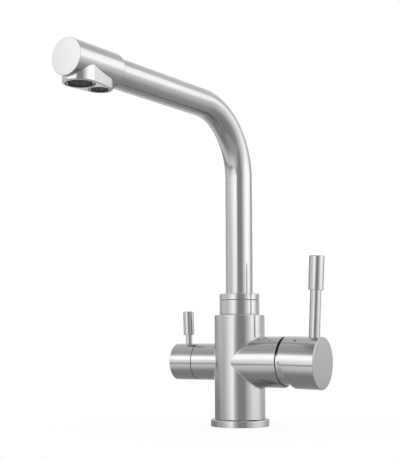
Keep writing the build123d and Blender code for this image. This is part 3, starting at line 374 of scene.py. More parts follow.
def notched_metal(name, place, reach, lug, way):
    """Dark metal with a painted glint: a light, matt colour on the two small lugs, on either side of the
    axis.
    """
    finish = bpy.context.scene.tap_finishes
    material, graph, shader = new_material(name)
    x, y, _ = graph.parts(graph.inside(place))
    across = x * math.cos(way) + y * math.sin(way)
    beside = y * math.cos(way) - x * math.sin(way)
    across = graph.maths("ABSOLUTE", across) - reach
    apart = graph.maths("SQRT", across * across + beside * beside)
    # Painted glint: the lugs take a light non-metallic colour that stands in for the glints in the key
    # notches
    painted_glint = graph.ramp(apart, lug, lug + 0.1 * MM, 1.0, 0.0)
    grain = graph.noise(graph.node("ShaderNodeTexCoord", output="Object"), 2500.0)
    base = graph.blend(grain, opaque(finish.aerator_ring), opaque(finish.aerator_ring, 0.6))
    base = graph.blend(painted_glint, base, opaque(finish.aerator_lug_painted_glint))
    metallic = graph.ramp(painted_glint, 0.0, 1.0, 0.5, 0.0)
    rough = painted_glint * 0.2 + 0.3
    bump = graph.bump(grain, 0.2, 0.02 * MM)
    graph.feed(shader, {"Base Color": base, "Metallic": metallic, "Roughness": rough, "Normal": bump})
    return material


def grained(name, rgb, dark, roughness, metallic=0.0, relief=0.03 * MM, coat=0.0):
    """A moulded, ground or machined finish with a fine grain and uneven gloss."""
    material, graph, shader = new_material(name)
    point = graph.node("ShaderNodeTexCoord", output="Object")
    fine = graph.noise(point, GRAIN_SCALE, 3.0)
    cloud = graph.noise(point, GRAIN_CLOUD_SCALE)
    shade = graph.ramp(fine * 0.5 + cloud * 0.5, 0.32, 0.68)
    base = graph.blend(shade, opaque(rgb), opaque(rgb, dark))
    rough = shade * 0.16 + roughness
    bump = graph.bump(fine, 0.35, relief)
    graph.feed(shader, {"Base Color": base, "Metallic": metallic, "Roughness": rough, "Normal": bump})
    graph.feed(shader, {"Coat Weight": coat})
    return material


# Meshes

def link_mesh(name, mesh):
    piece = bpy.data.objects.new(name, mesh)
    bpy.context.scene.collection.objects.link(piece)
    return piece


def rounded(outline, closed):
    """The outline's points, with an arc in place of each corner that carries a radius."""
    points = []
    last = len(outline) - 1
    for index, corner in enumerate(outline):
        here = Vector(corner[:2])
        radius = corner[2] if len(corner) > 2 else 0.0
        if not radius or (not closed and index in (0, last)):
            points.append(here)
            continue
        before = (Vector(outline[index - 1][:2]) - here).normalized()
        after = (Vector(outline[(index + 1) % len(outline)][:2]) - here).normalized()
        half = before.angle(after) / 2
        reach = radius / math.tan(half)
        centre = here + (before + after).normalized() * radius / math.sin(half)
        first, final = here + before * reach - centre, here + after * reach - centre
        sweep = first.angle_signed(final)
        for step in range(CORNER_STEPS + 1):
            turn = Matrix.Rotation(-sweep * step / CORNER_STEPS, 2)
            points.append(centre + turn @ first)
    return points


def solid(name, form, place):
    """A piece from a finished form, with its faces turned outward."""
    bmesh.ops.recalc_face_normals(form, faces=form.faces)
    mesh = bpy.data.meshes.new(name)
    form.to_mesh(mesh)
    form.free()
    mesh.transform(place)
    return link_mesh(name, mesh)


def turned(name, outline, place=UPRIGHT, steps=ROUND_STEPS):
    """A lathe-turned piece from a half outline of (radius, height, rounding) points, then placed."""
    on_axis = outline[0][0] == 0 and outline[-1][0] == 0
    form = bmesh.new()
    rings = []
    for radius, height in rounded(outline, not on_axis):
        if radius < TINY:
            rings.append([form.verts.new((0, 0, height))])
            continue
        ring = []
        for step in range(steps):
            way = TURN * step / steps
            ring.append(form.verts.new((radius * math.cos(way), radius * math.sin(way), height)))
        rings.append(ring)
    pairs = list(zip(rings, rings[1:]))
    if not on_axis:
        pairs.append((rings[-1], rings[0]))
    for low, high in pairs:
        for step in range(steps):
            after = (step + 1) % steps
            corners = [low[step % len(low)], low[after % len(low)]]
            corners += [high[after % len(high)], high[step % len(high)]]
            unique = list(dict.fromkeys(corners))
            if len(unique) > 2:
                form.faces.new(unique)
    return solid(name, form, place)


def prism(name, rings, place=UPRIGHT, endless=False):
    """A piece through rings of as many points each, closed by its two ends or as an endless loop."""
    form = bmesh.new()
    loops = [[form.verts.new(point) for point in ring] for ring in rings]
    following = loops[1:] + loops[:1] if endless else loops[1:]
    for low, high in zip(loops, following):
        for step, corner in enumerate(low):
            after = (step + 1) % len(low)
            form.faces.new((corner, low[after], high[after], high[step]))
    if not endless:
        form.faces.new(loops[0])
        form.faces.new(loops[-1])
    return solid(name, form, place)


def evaluated(piece):
    """Turn a piece's modifiers into plain mesh, and take the modifiers off."""
    seen = piece.evaluated_get(bpy.context.evaluated_depsgraph_get())
    mesh = bpy.data.meshes.new_from_object(seen)
    mesh.name = piece.name
    piece.modifiers.clear()
    old = piece.data
    piece.data = mesh
    bpy.data.meshes.remove(old)


def combined(piece, operation, *others):
    """Join other solids to a piece, or cut them out of it."""
    for other in others:
        modifier = piece.modifiers.new(operation, "BOOLEAN")
        modifier.operation = operation
        modifier.solver = "EXACT"
        modifier.object = other
    evaluated(piece)
    for other in others:
        bpy.data.objects.remove(other)


def cut(piece, *tools):
    combined(piece, "DIFFERENCE", *tools)


def joined(piece, *others):
    combined(piece, "UNION", *others)


def finished(piece, material, body, slot, *nodes):
    """Give a piece its shading, its finish and its place in the frame."""
    mesh = piece.data
    mesh.polygons.foreach_set("use_smooth", [True] * len(mesh.polygons))
    mesh.set_sharp_from_angle(angle=SMOOTH_ANGLE)
    weighted = piece.modifiers.new("weighted", "WEIGHTED_NORMAL")
    weighted.keep_sharp = True
    evaluated(piece)
    piece.data.materials.clear()
    piece.data.materials.append(material)
    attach(piece, body)
    if nodes:
        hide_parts(*nodes)


def drum(name, radius, low, high, place=UPRIGHT, steps=ROUND_STEPS, rims=(0.0, 0.0), bore=0):
    """A plain round solid, whose two outer edges may be rounded and which may have a bore."""
    outline = [(bore, low), (radius, low, rims[0]), (radius, high, rims[1]), (bore, high)]
    return turned(name, outline, place, steps)


# Places

def placed(origin, direction):
    """The matrix that takes a piece turned about Z to its place."""
    turn = UP.rotation_difference(Vector(direction)).to_matrix().to_4x4()
    return Matrix.Translation(Vector(origin)) @ turn


def around(way, reach):
    """The place at a distance from the Z axis, in a direction round it."""
    return Matrix.Translation((reach * math.cos(way), reach * math.sin(way), 0))


def side_places():
    """The places of pieces turned round the two handles' axis."""
    height = bpy.context.scene.tap_body.handle_height
    return placed((0, 0, height), (1, 0, 0)), placed((0, 0, height), (-1, 0, 0))


def handle_dip():
    """The small turn that sets the mixer handle in its resting place."""
    caps = bpy.context.scene.tap_caps
    pivot = Vector((caps.pivot, 0, bpy.context.scene.tap_body.handle_height))
    return Matrix.Translation(pivot) @ Matrix.Rotation(caps.dip, 4, "Y") @ Matrix.Translation(-pivot)


def lever_place(across, lean):
    """The place of a lever turned round its own axis, with heights measured from the handles' axis."""
    height = bpy.context.scene.tap_body.handle_height
    outward = 1 if across > 0 else -1
    return placed((across, 0, height), (outward * math.sin(lean), 0, math.cos(lean)))


def swung():
    """The swing of the spout at rest."""
    return Matrix.Rotation(-bpy.context.scene.tap_spout.swing, 4, "Z")


def arm_place():
    """The place of pieces turned round the arm's axis, with heights measured from the column's axis."""
    return swung() @ placed((0, 0, bpy.context.scene.tap_spout.arm_height), (0, -1, 0))


def outlet_place(reach):
    """The place of pieces turned round an outlet's upright axis, with heights measured from the deck."""
    return swung() @ Matrix.Translation((0, -reach, 0))


# Geometry trees

def new_tree(name, inputs):
    """The graph of a new geometry tree with its named inputs and their kinds."""
    tree = bpy.data.node_groups.new(name, "GeometryNodeTree")
    for key, kind in {"Geometry": "Geometry", **inputs}.items():
        tree.interface.new_socket(key, in_out="INPUT", socket_type=f"NodeSocket{kind}")
    tree.interface.new_socket("Geometry", in_out="OUTPUT", socket_type="NodeSocketGeometry")
    return Graph(tree)


def closed_tree(graph, shape, material):
    """End a geometry tree in plain mesh with its material."""
    shape = graph.node("GeometryNodeRealizeInstances", None, {"Geometry": shape})
    shape = graph.node("GeometryNodeSetMaterial", None, {"Geometry": shape, "Material": material})
    graph.node("NodeGroupOutput", None, {0: shape})
    return graph.tree


def path_tree(material):
    """A geometry tree that sweeps a tube along the piece's own path, with its bend rounded."""
    graph = new_tree("bent tube", {"Bend radius": "Float", "Tube radius": "Float"})
    path, bend, radius = graph.given("Geometry", "Bend radius", "Tube radius")
    curve = graph.node("GeometryNodeMeshToCurve", None, {"Mesh": path})
    inputs = {"Curve": curve, "Count": 64, "Radius": bend, "Limit Radius": True}
    curve = graph.node("GeometryNodeFilletCurve", {"mode": "POLY"}, inputs)
    length = graph.node("GeometryNodeSplineParameter", output="Length")
    settings = {"data_type": "FLOAT", "domain": "POINT"}
    inputs = {"Geometry": curve, "Name": "along", "Value": length}
    curve = graph.node("GeometryNodeStoreNamedAttribute", settings, inputs)
    ring = graph.node("GeometryNodeCurvePrimitiveCircle", None, {"Resolution": ROUND_STEPS, "Radius": radius})
    tube = graph.node("GeometryNodeCurveToMesh", None, {"Curve": curve, "Profile Curve": ring})
    return closed_tree(graph, tube, material)


def grid_tree(material):
    """A geometry tree that fans ribs round a hub and joins them with rings, as in an aerator's outlet."""
    graph = new_tree("aerator grid", {"Radius": "Float", "Depth": "Float", "Wall": "Float", "Ribs": "Int"})
    radius, depth, wall, ribs = graph.given("Radius", "Depth", "Wall", "Ribs")
    rib_length, rib_middle, ring_shares = 0.78, 0.58, (0.2, 0.44, 0.7)
    rib = graph.node("GeometryNodeMeshCube", None, {"Size": graph.combine(radius * rib_length, wall, depth)})
    shift = graph.combine(radius * rib_middle, 0.0, 0.0)
    rib = graph.node("GeometryNodeTransform", None, {"Geometry": rib, "Translation": shift})
    points = graph.node("GeometryNodePoints", None, {"Count": ribs})
    spin = graph.maths("DIVIDE", TURN, ribs)
    turn = graph.combine(0.0, 0.0, graph.node("GeometryNodeInputIndex") * spin)
    inputs = {"Points": points, "Instance": rib, "Rotation": turn}
    parts = [graph.node("GeometryNodeInstanceOnPoints", None, inputs)]
    for part in ring_shares:
        inputs = {"Resolution": 64, "Radius": radius * part}
        line = graph.node("GeometryNodeCurvePrimitiveCircle", None, inputs)
        inputs = {"Width": wall, "Height": depth}
        section = graph.node("GeometryNodeCurvePrimitiveQuadrilateral", None, inputs)
        inputs = {"Curve": line, "Profile Curve": section}
        parts.append(graph.node("GeometryNodeCurveToMesh", None, inputs))
    whole = graph.node("GeometryNodeJoinGeometry", None, {"Geometry": parts})
    return closed_tree(graph, whole, material)


def grown(piece, tree, values):
    """Run a geometry tree on a piece with its named inputs, and leave plain mesh."""
    modifier = piece.modifiers.new(tree.name, "NODES")
    modifier.node_group = tree
    for item in tree.interface.items_tree:
        if item.in_out == "INPUT" and item.name in values:
            modifier[item.identifier] = values[item.name]
    evaluated(piece)


# Pieces

class TapOperator:
    """What every building step shares."""

    bl_options = {"REGISTER", "UNDO"}


def seam_blend(sizes, boss_radius, side):
    """The ring that rounds the corner between the column and a boss, as a ball rolled along both would."""
    blend = sizes.blend
    wide, narrow = sizes.radius + blend, boss_radius + blend
    sunk, steps = 0.25 * MM, 2 * FINE_STEPS
    rings = []
    for step in range(steps):
        way = TURN * step / steps
        y, z = narrow * math.cos(way), narrow * math.sin(way)
        centre = Vector((math.sqrt(wide * wide - y * y), y, z))
        on_column = Vector((centre.x, centre.y, 0)) * (sizes.radius / wide) + Vector((0, 0, centre.z))
        on_boss = Vector((centre.x, centre.y * boss_radius / narrow, centre.z * boss_radius / narrow))
        first, final = on_column - centre, on_boss - centre
        ring = []
        for part in range(CORNER_STEPS + 1):
            ring.append(centre + first.slerp(final, part / CORNER_STEPS).normalized() * blend)
        inward = (first + final).normalized() * sunk
        ring += [ring[-1] + inward, ring[0] + inward]
        rings.append([Vector((side * point.x, point.y, point.z + sizes.handle_height)) for point in ring])
    return prism("seam_blend", rings, endless=True)


class TAP_OT_body(TapOperator, bpy.types.Operator):
    """Build the column with its two bosses, its chambers and its holes"""

    bl_idname = "tap.body"
    bl_label = "Body"

    def execute(self, context):
        sizes = context.scene.tap_body
        mixer_side, filter_side = side_places()
        chamber_floor, seal_bore, thread_bore, thread_start = 80 * MM, 13 * MM, 17 * MM, 91.5 * MM
        outline = [
            (0, sizes.base_bore_top),
            (sizes.base_bore, sizes.base_bore_top, 0.5 * MM),
            (sizes.base_bore, sizes.foot_start),
            (sizes.foot_radius, sizes.foot_start),
            (sizes.foot_radius, sizes.flange_height),
            (sizes.radius, sizes.flange_height, sizes.edge),
            (sizes.radius, sizes.top, sizes.edge),
            (thread_bore, sizes.top),
            (thread_bore, thread_start),
            (seal_bore, thread_start),
            (seal_bore, chamber_floor),
            (0, chamber_floor),
        ]
        body = turned("tap_column", outline)
        radius, end, rims = sizes.mixer_boss_radius, sizes.mixer_boss_end, (0.0, sizes.rim)
        mixer_boss = drum("mixer_boss", radius, 0, end, mixer_side, rims=rims)
        radius, end, rims = sizes.filter_boss_radius, sizes.filter_boss_end, (0.0, sizes.rim / 2)
        filter_start = 2 * MM
        filter_boss = drum("filter_boss", radius, filter_start, end, filter_side, rims=rims)
        joined(body, mixer_boss, filter_boss)
        mixer_blend = seam_blend(sizes, sizes.mixer_boss_radius, 1)
        joined(body, mixer_blend, seam_blend(sizes, sizes.filter_boss_radius, -1))

        beyond = sizes.mixer_boss_end + 2 * OVERCUT
        cartridge_bore, cartridge_floor, cartridge_top = 18.1 * MM, 14 * MM, 35 * MM
        nut_bore, nut_top, mouth = 20 * MM, 42 * MM, 21.45 * MM
        outline = [
            (0, cartridge_floor),
            (cartridge_bore, cartridge_floor),
            (cartridge_bore, cartridge_top),
            (nut_bore, cartridge_top),
            (nut_bore, nut_top),
            (mouth, nut_top),
            (mouth, beyond),
            (0, beyond),
        ]
        valve_bore, valve_floor = 10 * MM, 17 * MM
        tools = [
            turned("mixer_chamber", outline, mixer_side),
            drum("filter_chamber", valve_bore, valve_floor, beyond, filter_side),
        ]
        below = sizes.base_bore_top - OVERCUT
        for name, circle, radius, top, ways in (
            ("inlet_hole", 9.8 * MM, 4.5 * MM, 32 * MM, (60, 180, 300)),
            ("stud_hole", 13.5 * MM, 2.5 * MM, 34 * MM, (120, 240)),
        ):
            for number, way in enumerate(ways):
                place = around(math.radians(way), circle)
                tools.append(drum(f"{name}_{number}", radius, below, top, place, FINE_STEPS))
        cut(body, *tools)
        steel = brushed_steel("steel_column", boss_from=sizes.radius)
        finished(body, steel, "tap_body", "brushed_stainless", "body_shell")
        return {"FINISHED"}


class TAP_OT_flange(TapOperator, bpy.types.Operator):
    """Build the thin wide ring that the column stands in"""

    bl_idname = "tap.flange"
    bl_label = "Flange"

    def execute(self, context):
        sizes = context.scene.tap_body
        inner, rims = sizes.foot_radius + SNUG, (0.25 * MM, 0.7 * MM)
        flange = drum("flange", sizes.flange_radius, 0, sizes.flange_height, rims=rims, bore=inner)
        finished(flange, brushed_steel("steel_flange"), "tap_body", "brushed_stainless", "base_flange")
        return {"FINISHED"}


class TAP_OT_swivel(TapOperator, bpy.types.Operator):
    """Build the swivel collar and the ring at the tube's foot"""

    bl_idname = "tap.swivel"
    bl_label = "Swivel"

    def execute(self, context):
        sizes = context.scene.tap_spout
        top = context.scene.tap_body.top
        steel = brushed_steel("steel_swivel")
        groove, groove_top = sizes.collar_radius - 0.9 * MM, top + 0.6 * MM
        thread, thread_start = 16.95 * MM, 92 * MM
        clip_room, clip_top = 15.5 * MM, 97 * MM
        bore, washer, washer_seat = 13.55 * MM, 17 * MM, 114.1 * MM
        outline = [
            (clip_room, thread_start),
            (thread, thread_start),
            (thread, top),
            (groove, top),
            (groove, groove_top),
            (sizes.collar_radius, groove_top, 0.4 * MM),
            (sizes.collar_radius, sizes.collar_top, 0.3 * MM),
            (washer, sizes.collar_top),
            (washer, washer_seat),
            (bore, washer_seat),
            (bore, clip_top),
            (clip_room, clip_top),
        ]
        collar = turned("swivel_neck", outline)
        finished(collar, steel, "tap_body", "brushed_stainless", "swivel_collar")

        spigot, pipe = 13.5 * MM + SLIDE, sizes.tube_radius + SLIDE
        outline = [
            (spigot, sizes.ring_start),
            (sizes.ring_radius, sizes.ring_start, 0.3 * MM),
            (sizes.ring_radius, sizes.ring_top, 0.7 * MM),
            (pipe, sizes.ring_top),
            (pipe, sizes.tube_foot),
            (spigot, sizes.tube_foot),
        ]
        ring = turned("spout_ring", outline)
        finished(ring, steel, "spout", "brushed_stainless", "spout_base_ring")
        return {"FINISHED"}


class TAP_OT_tube(TapOperator, bpy.types.Operator):
    """Sweep the spout tube along its path"""

    bl_idname = "tap.tube"
    bl_label = "Spout tube"

    def execute(self, context):
        sizes = context.scene.tap_spout
        path = [
            (0, 0, sizes.tube_foot),
            (0, 0, sizes.arm_height),
            (0, -sizes.tube_reach, sizes.arm_height),
        ]
        mesh = bpy.data.meshes.new("spout_pipe")
        mesh.from_pydata(path, [(0, 1), (1, 2)], [])
        tube = link_mesh("spout_pipe", mesh)
        steel = brushed_steel("steel_tube", along="along")
        values = {"Bend radius": sizes.bend_radius, "Tube radius": sizes.tube_radius}
        grown(tube, path_tree(steel), values)
        wall = tube.modifiers.new("wall", "SOLIDIFY")
        wall.thickness = sizes.tube_wall
        wall.offset = -1
        evaluated(tube)
        tube.data.transform(swung())
        finished(tube, steel, "spout", "brushed_stainless", "spout_tube")
        return {"FINISHED"}


def nozzle_ring(sizes, grow, height):
    """The egg-shaped outline round the two aerators: two arcs and their shared tangents."""
    big, small = sizes.main_radius + grow, sizes.filter_radius + grow
    lean = math.asin((big - small) / (sizes.main_place - sizes.filter_place))
    points = []
    for place, radius, start, sweep in (
        (sizes.main_place, big, -math.pi / 2 - lean, math.pi + 2 * lean),
        (sizes.filter_place, small, math.pi / 2 + lean, math.pi - 2 * lean),
    ):
        for step in range(FINE_STEPS + 1):
            way = start + sweep * step / FINE_STEPS
            points.append((radius * math.sin(way), -place - radius * math.cos(way), height))
    return points


class TAP_OT_head(TapOperator, bpy.types.Operator):
    """Build the outlet head with the nozzle block under it"""

    bl_idname = "tap.head"
    bl_label = "Outlet head"

    def execute(self, context):
        sizes = context.scene.tap_spout
        place = arm_place()
        start, end, rims = sizes.head_start, sizes.head_end, (sizes.head_edge, 0.35 * MM)
        head = drum("spout_head", sizes.head_radius, start, end, place, rims=rims)
        floor, block_top = sizes.arm_height - sizes.nozzle_depth, sizes.arm_height - 4 * MM
        edge, end_wall = 0.7 * MM, 2.5 * MM
        rings = [nozzle_ring(sizes, sizes.nozzle_wall, block_top)]
        for step in range(CORNER_STEPS + 1):
            way = math.pi / 2 * step / CORNER_STEPS
            inset, drop = edge * (1 - math.cos(way)), edge * (1 - math.sin(way))
            rings.append(nozzle_ring(sizes, sizes.nozzle_wall - inset, floor + drop))
        joined(head, prism("nozzle_block", rings, swung()))

        before, far = start - OVERCUT, end - end_wall
        outline = [
            (0, before),
            (sizes.tube_radius + SLIDE, before),
            (sizes.tube_radius + SLIDE, sizes.tube_reach),
            (sizes.head_bore, sizes.tube_reach),
            (sizes.head_bore, far),
            (0, far),
        ]
        tools = [turned("head_hollow", outline, place)]
        below, seat = floor - OVERCUT, sizes.arm_height - sizes.aerator_seat
        for name, reach, radius, bevel in (
            ("main_bore", sizes.main_place, sizes.main_radius, 0.1 * MM),
            ("filter_bore", sizes.filter_place, sizes.filter_radius, 0.4 * MM),
        ):
            mouth = radius + bevel
            outline = [(0, below), (mouth, below), (mouth, floor)]
            outline += [(radius, floor + bevel), (radius, seat), (0, seat)]
            tools.append(turned(name, outline, outlet_place(reach)))
        cut(head, *tools)
        steel = brushed_steel("steel_head", place)
        finished(head, steel, "spout", "brushed_stainless", "outlet_head")
        return {"FINISHED"}


class TAP_OT_aerators(TapOperator, bpy.types.Operator):
    """Build the two aerators with their key slots and outlet grids"""

    bl_idname = "tap.aerators"
    bl_label = "Aerators"

    def execute(self, context):
        sizes = context.scene.tap_spout
        plastic = grained("aerator_plastic", context.scene.tap_finishes.aerator, 0.5, 0.32)
        tree = grid_tree(plastic)
        recess, washer = 0.3 * MM, 1.5 * MM
        low = sizes.arm_height - sizes.nozzle_depth + recess
        high = sizes.arm_height - sizes.aerator_seat - washer
        slot_radius, slot_top, slot_inset = 1.35 * MM, low + 1.3 * MM, 0.8 * MM
        lug_radius, lug_low, lug_top, lug_share = 0.7 * MM, low - 0.1 * MM, low + 1.5 * MM, 0.84
        grid_depth, grid_middle, grid_wall = 1.4 * MM, low + 1.3 * MM, 0.45 * MM
        for kind, reach, bore, ribs in (
            ("main", sizes.main_place, sizes.main_radius, 18),
            ("filter", sizes.filter_place, sizes.filter_radius, 14),
        ):
            place = outlet_place(reach)
            outer, inner = bore - SNUG, bore - 1.6 * MM
            ledge, ledge_low, ledge_high = inner - 1 * MM, low + 2 * MM, low + 3 * MM
            outline = [
                (inner, low, 0.2 * MM),
                (outer, low, 0.2 * MM),
                (outer, high),
                (inner, high),
                (inner, ledge_high),
                (ledge, ledge_high),
                (ledge, ledge_low),
                (inner, ledge_low),
            ]
            ring = turned(f"{kind}_aerator_ring", outline, steps=FINE_STEPS)
            # The metal paints a glint on each lug as a light colour
            metal = notched_metal(f"{kind}_aerator_metal", place, bore * lug_share, lug_radius, sizes.notch)
            for way in (sizes.notch, sizes.notch + math.pi):
                slot, lug = around(way, bore - slot_inset), around(way, bore * lug_share)
                cut(ring, drum("key_slot", slot_radius, low - OVERCUT, slot_top, slot, SLOT_STEPS))
                joined(ring, drum("key_lug", lug_radius, lug_low, lug_top, lug, LUG_STEPS))
            ring.data.transform(place)
            finished(ring, metal, "spout", "aerator_metal", f"{kind}_aerator_housing")

            grid = link_mesh(f"{kind}_aerator_grid", bpy.data.meshes.new(f"{kind}_aerator_grid"))
            outer, inner = inner - 0.1 * MM, inner - 1 * MM
            grown(grid, tree, {"Radius": outer, "Depth": grid_depth, "Wall": grid_wall, "Ribs": ribs})
            grid.data.transform(place @ Matrix.Translation((0, 0, grid_middle)))
            under, over = grid_middle - grid_depth / 2, grid_middle + grid_depth / 2
            outline = [(inner, under, 0.15 * MM), (outer, under, 0.15 * MM), (outer, over), (inner, over)]
            rim = turned(f"{kind}_grid_rim", outline, place, FINE_STEPS)
            rim.data.materials.append(plastic)
            with bpy.context.temp_override(active_object=grid, selected_editable_objects=[grid, rim]):
                bpy.ops.object.join()
            finished(grid, plastic, "spout", "aerator_plastic", f"{kind}_aerator_screen")
        return {"FINISHED"}


class TAP_OT_bonnet(TapOperator, bpy.types.Operator):
    """Build the domed ring that the mixer handle tilts over"""

    bl_idname = "tap.bonnet"
    bl_label = "Bonnet"

    def execute(self, context):
        caps = context.scene.tap_caps
        mixer_side, _ = side_places()
        start, shelf, lip, end = 42 * MM, 47 * MM, 50.2 * MM, 52 * MM
        skirt, skirt_bore, throat, mouth = 21 * MM, 19 * MM, 17 * MM, 13.5 * MM
        outline = [(skirt_bore, start), (skirt, start)]
        low = math.asin((end - caps.pivot) / caps.bonnet_radius)
        dome_steps = 24
        for step in range(1, dome_steps + 1):
            way = low * step / dome_steps
            radius = min(skirt, caps.bonnet_radius * math.cos(way))
            outline.append((radius, caps.pivot + caps.bonnet_radius * math.sin(way)))
        outline += [(mouth, end, 0.3 * MM), (mouth, lip), (throat, lip), (throat, shelf), (skirt_bore, shelf)]
        bonnet = turned("bonnet_dome", outline, mixer_side)
        # Painted shade in the groove under the handle's inner edge
        shade_above = context.scene.tap_body.handle_height + 5 * MM
        shade_before = caps.start + 0.2 * MM
        steel = painted_shade_groove_steel("steel_bonnet", mixer_side, shade_above, shade_before)
        finished(bonnet, steel, "tap_body", "brushed_stainless", "bonnet_ring")
        return {"FINISHED"}


def grip_piece(name, bore, radius, heights, rims, place):
    """A lever's grip, closed at its top, with the bore that takes the rod at its foot."""
    start, inside, end = heights
    outline = [(bore, inside), (0, inside), (0, end)]
    outline += [(radius, end, rims[1]), (radius, start, rims[0]), (bore, start)]
    return turned(name, outline, place)


class TAP_OT_mixer_handle(TapOperator, bpy.types.Operator):
    """Build the mixer handle's cap with its slanted edge, its pip and its lever"""

    bl_idname = "tap.mixer_handle"
    bl_label = "Mixer handle"

    def execute(self, context):
        caps, levers = context.scene.tap_caps, context.scene.tap_levers
        height = context.scene.tap_body.handle_height
        mixer_side, _ = side_places()
        dip = handle_dip()
        steel = brushed_steel("steel_mixer_cap", dip @ mixer_side)
        hub, hub_start, ceiling = 8 * MM, 59.3 * MM, 67 * MM
        outline = [
            (0, hub_start),
            (hub, hub_start, 0.3 * MM),
            (hub, ceiling),
            (caps.bore, ceiling),
            (caps.bore, caps.start),
            (caps.radius, caps.start, 0.2 * MM),
            (caps.radius, caps.end, 0.8 * MM),
            (0, caps.end),
        ]
        cap = turned("mixer_cap_shell", outline, mixer_side)
        far = 2 * caps.radius
        low = caps.start + (caps.wedge_height + far) * math.tan(caps.wedge)
        corners = [(0, caps.wedge_height), (caps.start, caps.wedge_height), (low, -far), (0, -far)]
        slant = prism("slant_cut", [[(x, y, height + z) for x, z in corners] for y in (-far, far)])
        stem_bore, stem_low, stem_top = 4.55 * MM, 50 * MM, 78 * MM
        stem = drum("stem_socket", stem_bore, stem_low, stem_top, mixer_side, FINE_STEPS)
        lever = lever_place(levers.mixer_place, levers.mixer_lean)
        pin, pin_length, socket_floor = 4 * MM, 22 * MM, 14.35 * MM
        socket = drum("lever_socket", pin, socket_floor, far, lever, FINE_STEPS)
        grub_place, grub_radius = placed((63.2 * MM, 0, height), (0, 0, -1)), 2.5 * MM
        grub_hole = drum("grub_hole", grub_radius, 0, far, grub_place, FINE_STEPS)
        pip_way, pip_radius, pip_depth = math.radians(32.9), 1.2 * MM, 1.2 * MM
        pip_place = placed((61.2 * MM, 0, height), (0, -math.sin(pip_way), math.cos(pip_way)))
        floor = caps.radius - pip_depth
        pip_hole = drum("pip_hole", pip_radius, floor, far, pip_place, PIN_STEPS)
        cut(cap, slant, stem, socket, grub_hole, pip_hole)
        cap.data.transform(dip)
        finished(cap, steel, "mixer_handle", "brushed_stainless", "mixer_cap")

        pip_top, rims = floor + 0.8 * MM, (0.0, 0.25 * MM)
        pip = drum("cap_pip", pip_radius - SLIDE, floor, pip_top, dip @ pip_place, PIN_STEPS, rims)
        dark = grained("pip_plastic", context.scene.tap_finishes.pip, 0.5, 0.3)
        finished(pip, dark, "mixer_handle", "grey_plastic", "index_pip")

        steel = brushed_steel("steel_mixer_lever", dip @ lever)
        start, end = levers.mixer_grip_start, levers.mixer_grip_end
        rod_start, inside = 20 * MM, start + pin_length
        spigot_end, face_start, face_end = 40 * MM, 40 * MM, 100 * MM
        outline = [
            (0, rod_start),
            (levers.mixer_rod, rod_start),
            (levers.mixer_rod, start),
            (pin, start),
            (pin, inside),
            (0, inside),
        ]
        rod = turned("mixer_rod", outline, lever)
        cut(rod, drum("cap_face", caps.radius, face_start, face_end, mixer_side))
        joined(rod, drum("rod_spigot", pin - SNUG, socket_floor, spigot_end, lever, FINE_STEPS))
        rod.data.transform(dip)
        finished(rod, steel, "mixer_handle", "brushed_stainless", "mixer_lever_rod")
        heights, rims = (start, inside, end), (0.3 * MM, levers.edge)
        grip = grip_piece("mixer_grip", pin, levers.mixer_grip, heights, rims, dip @ lever)
        finished(grip, steel, "mixer_handle", "brushed_stainless", "mixer_lever_grip")
        return {"FINISHED"}


class TAP_OT_filter_handle(TapOperator, bpy.types.Operator):
    """Build the filter handle's cap and its lever"""

    bl_idname = "tap.filter_handle"
    bl_label = "Filter handle"

    def execute(self, context):
        caps, levers = context.scene.tap_caps, context.scene.tap_levers
        height = context.scene.tap_body.handle_height
        _, filter_side = side_places()
        steel = brushed_steel("steel_filter_cap", filter_side)
        ceiling, bore = 54 * MM, 15 * MM
        outline = [
            (0, ceiling),
            (bore, ceiling),
            (bore, caps.filter_start),
            (caps.filter_radius, caps.filter_start, 0.15 * MM),
            (caps.filter_radius, caps.filter_end, 0.5 * MM),
            (0, caps.filter_end),
        ]
        cap = turned("filter_cap_shell", outline, filter_side)
        lever = lever_place(-levers.filter_place, levers.filter_lean)
        spindle_bore, spindle_low, spindle_top = 4.05 * MM, 50 * MM, 60.2 * MM
        spindle = drum("spindle_socket", spindle_bore, spindle_low, spindle_top, filter_side, FINE_STEPS)
        far, socket_floor, pin = 30 * MM, 14.2 * MM, levers.filter_rod
        socket = drum("filter_lever_socket", pin + SLIDE, socket_floor, far, lever, FINE_STEPS)
        grub_place, grub_radius = placed((-57.5 * MM, 0, height), (0, 0, -1)), 2 * MM
        cut(cap, spindle, socket, drum("filter_grub_hole", grub_radius, 0, far, grub_place, FINE_STEPS))
        finished(cap, steel, "filter_handle", "brushed_stainless", "filter_cap")

        steel = brushed_steel("steel_filter_lever", lever)
        start, end = levers.filter_grip_start, levers.filter_grip_end
        pin_length = 14 * MM
        inside = start + pin_length
        rod = drum("filter_rod", pin, socket_floor, inside, lever)
        finished(rod, steel, "filter_handle", "brushed_stainless", "filter_lever_rod")
        heights, rims = (start, inside, end), (0.25 * MM, levers.edge)
        grip = grip_piece("filter_grip", pin, levers.filter_grip, heights, rims, lever)
        finished(grip, steel, "filter_handle", "brushed_stainless", "filter_lever_grip")
        return {"FINISHED"}


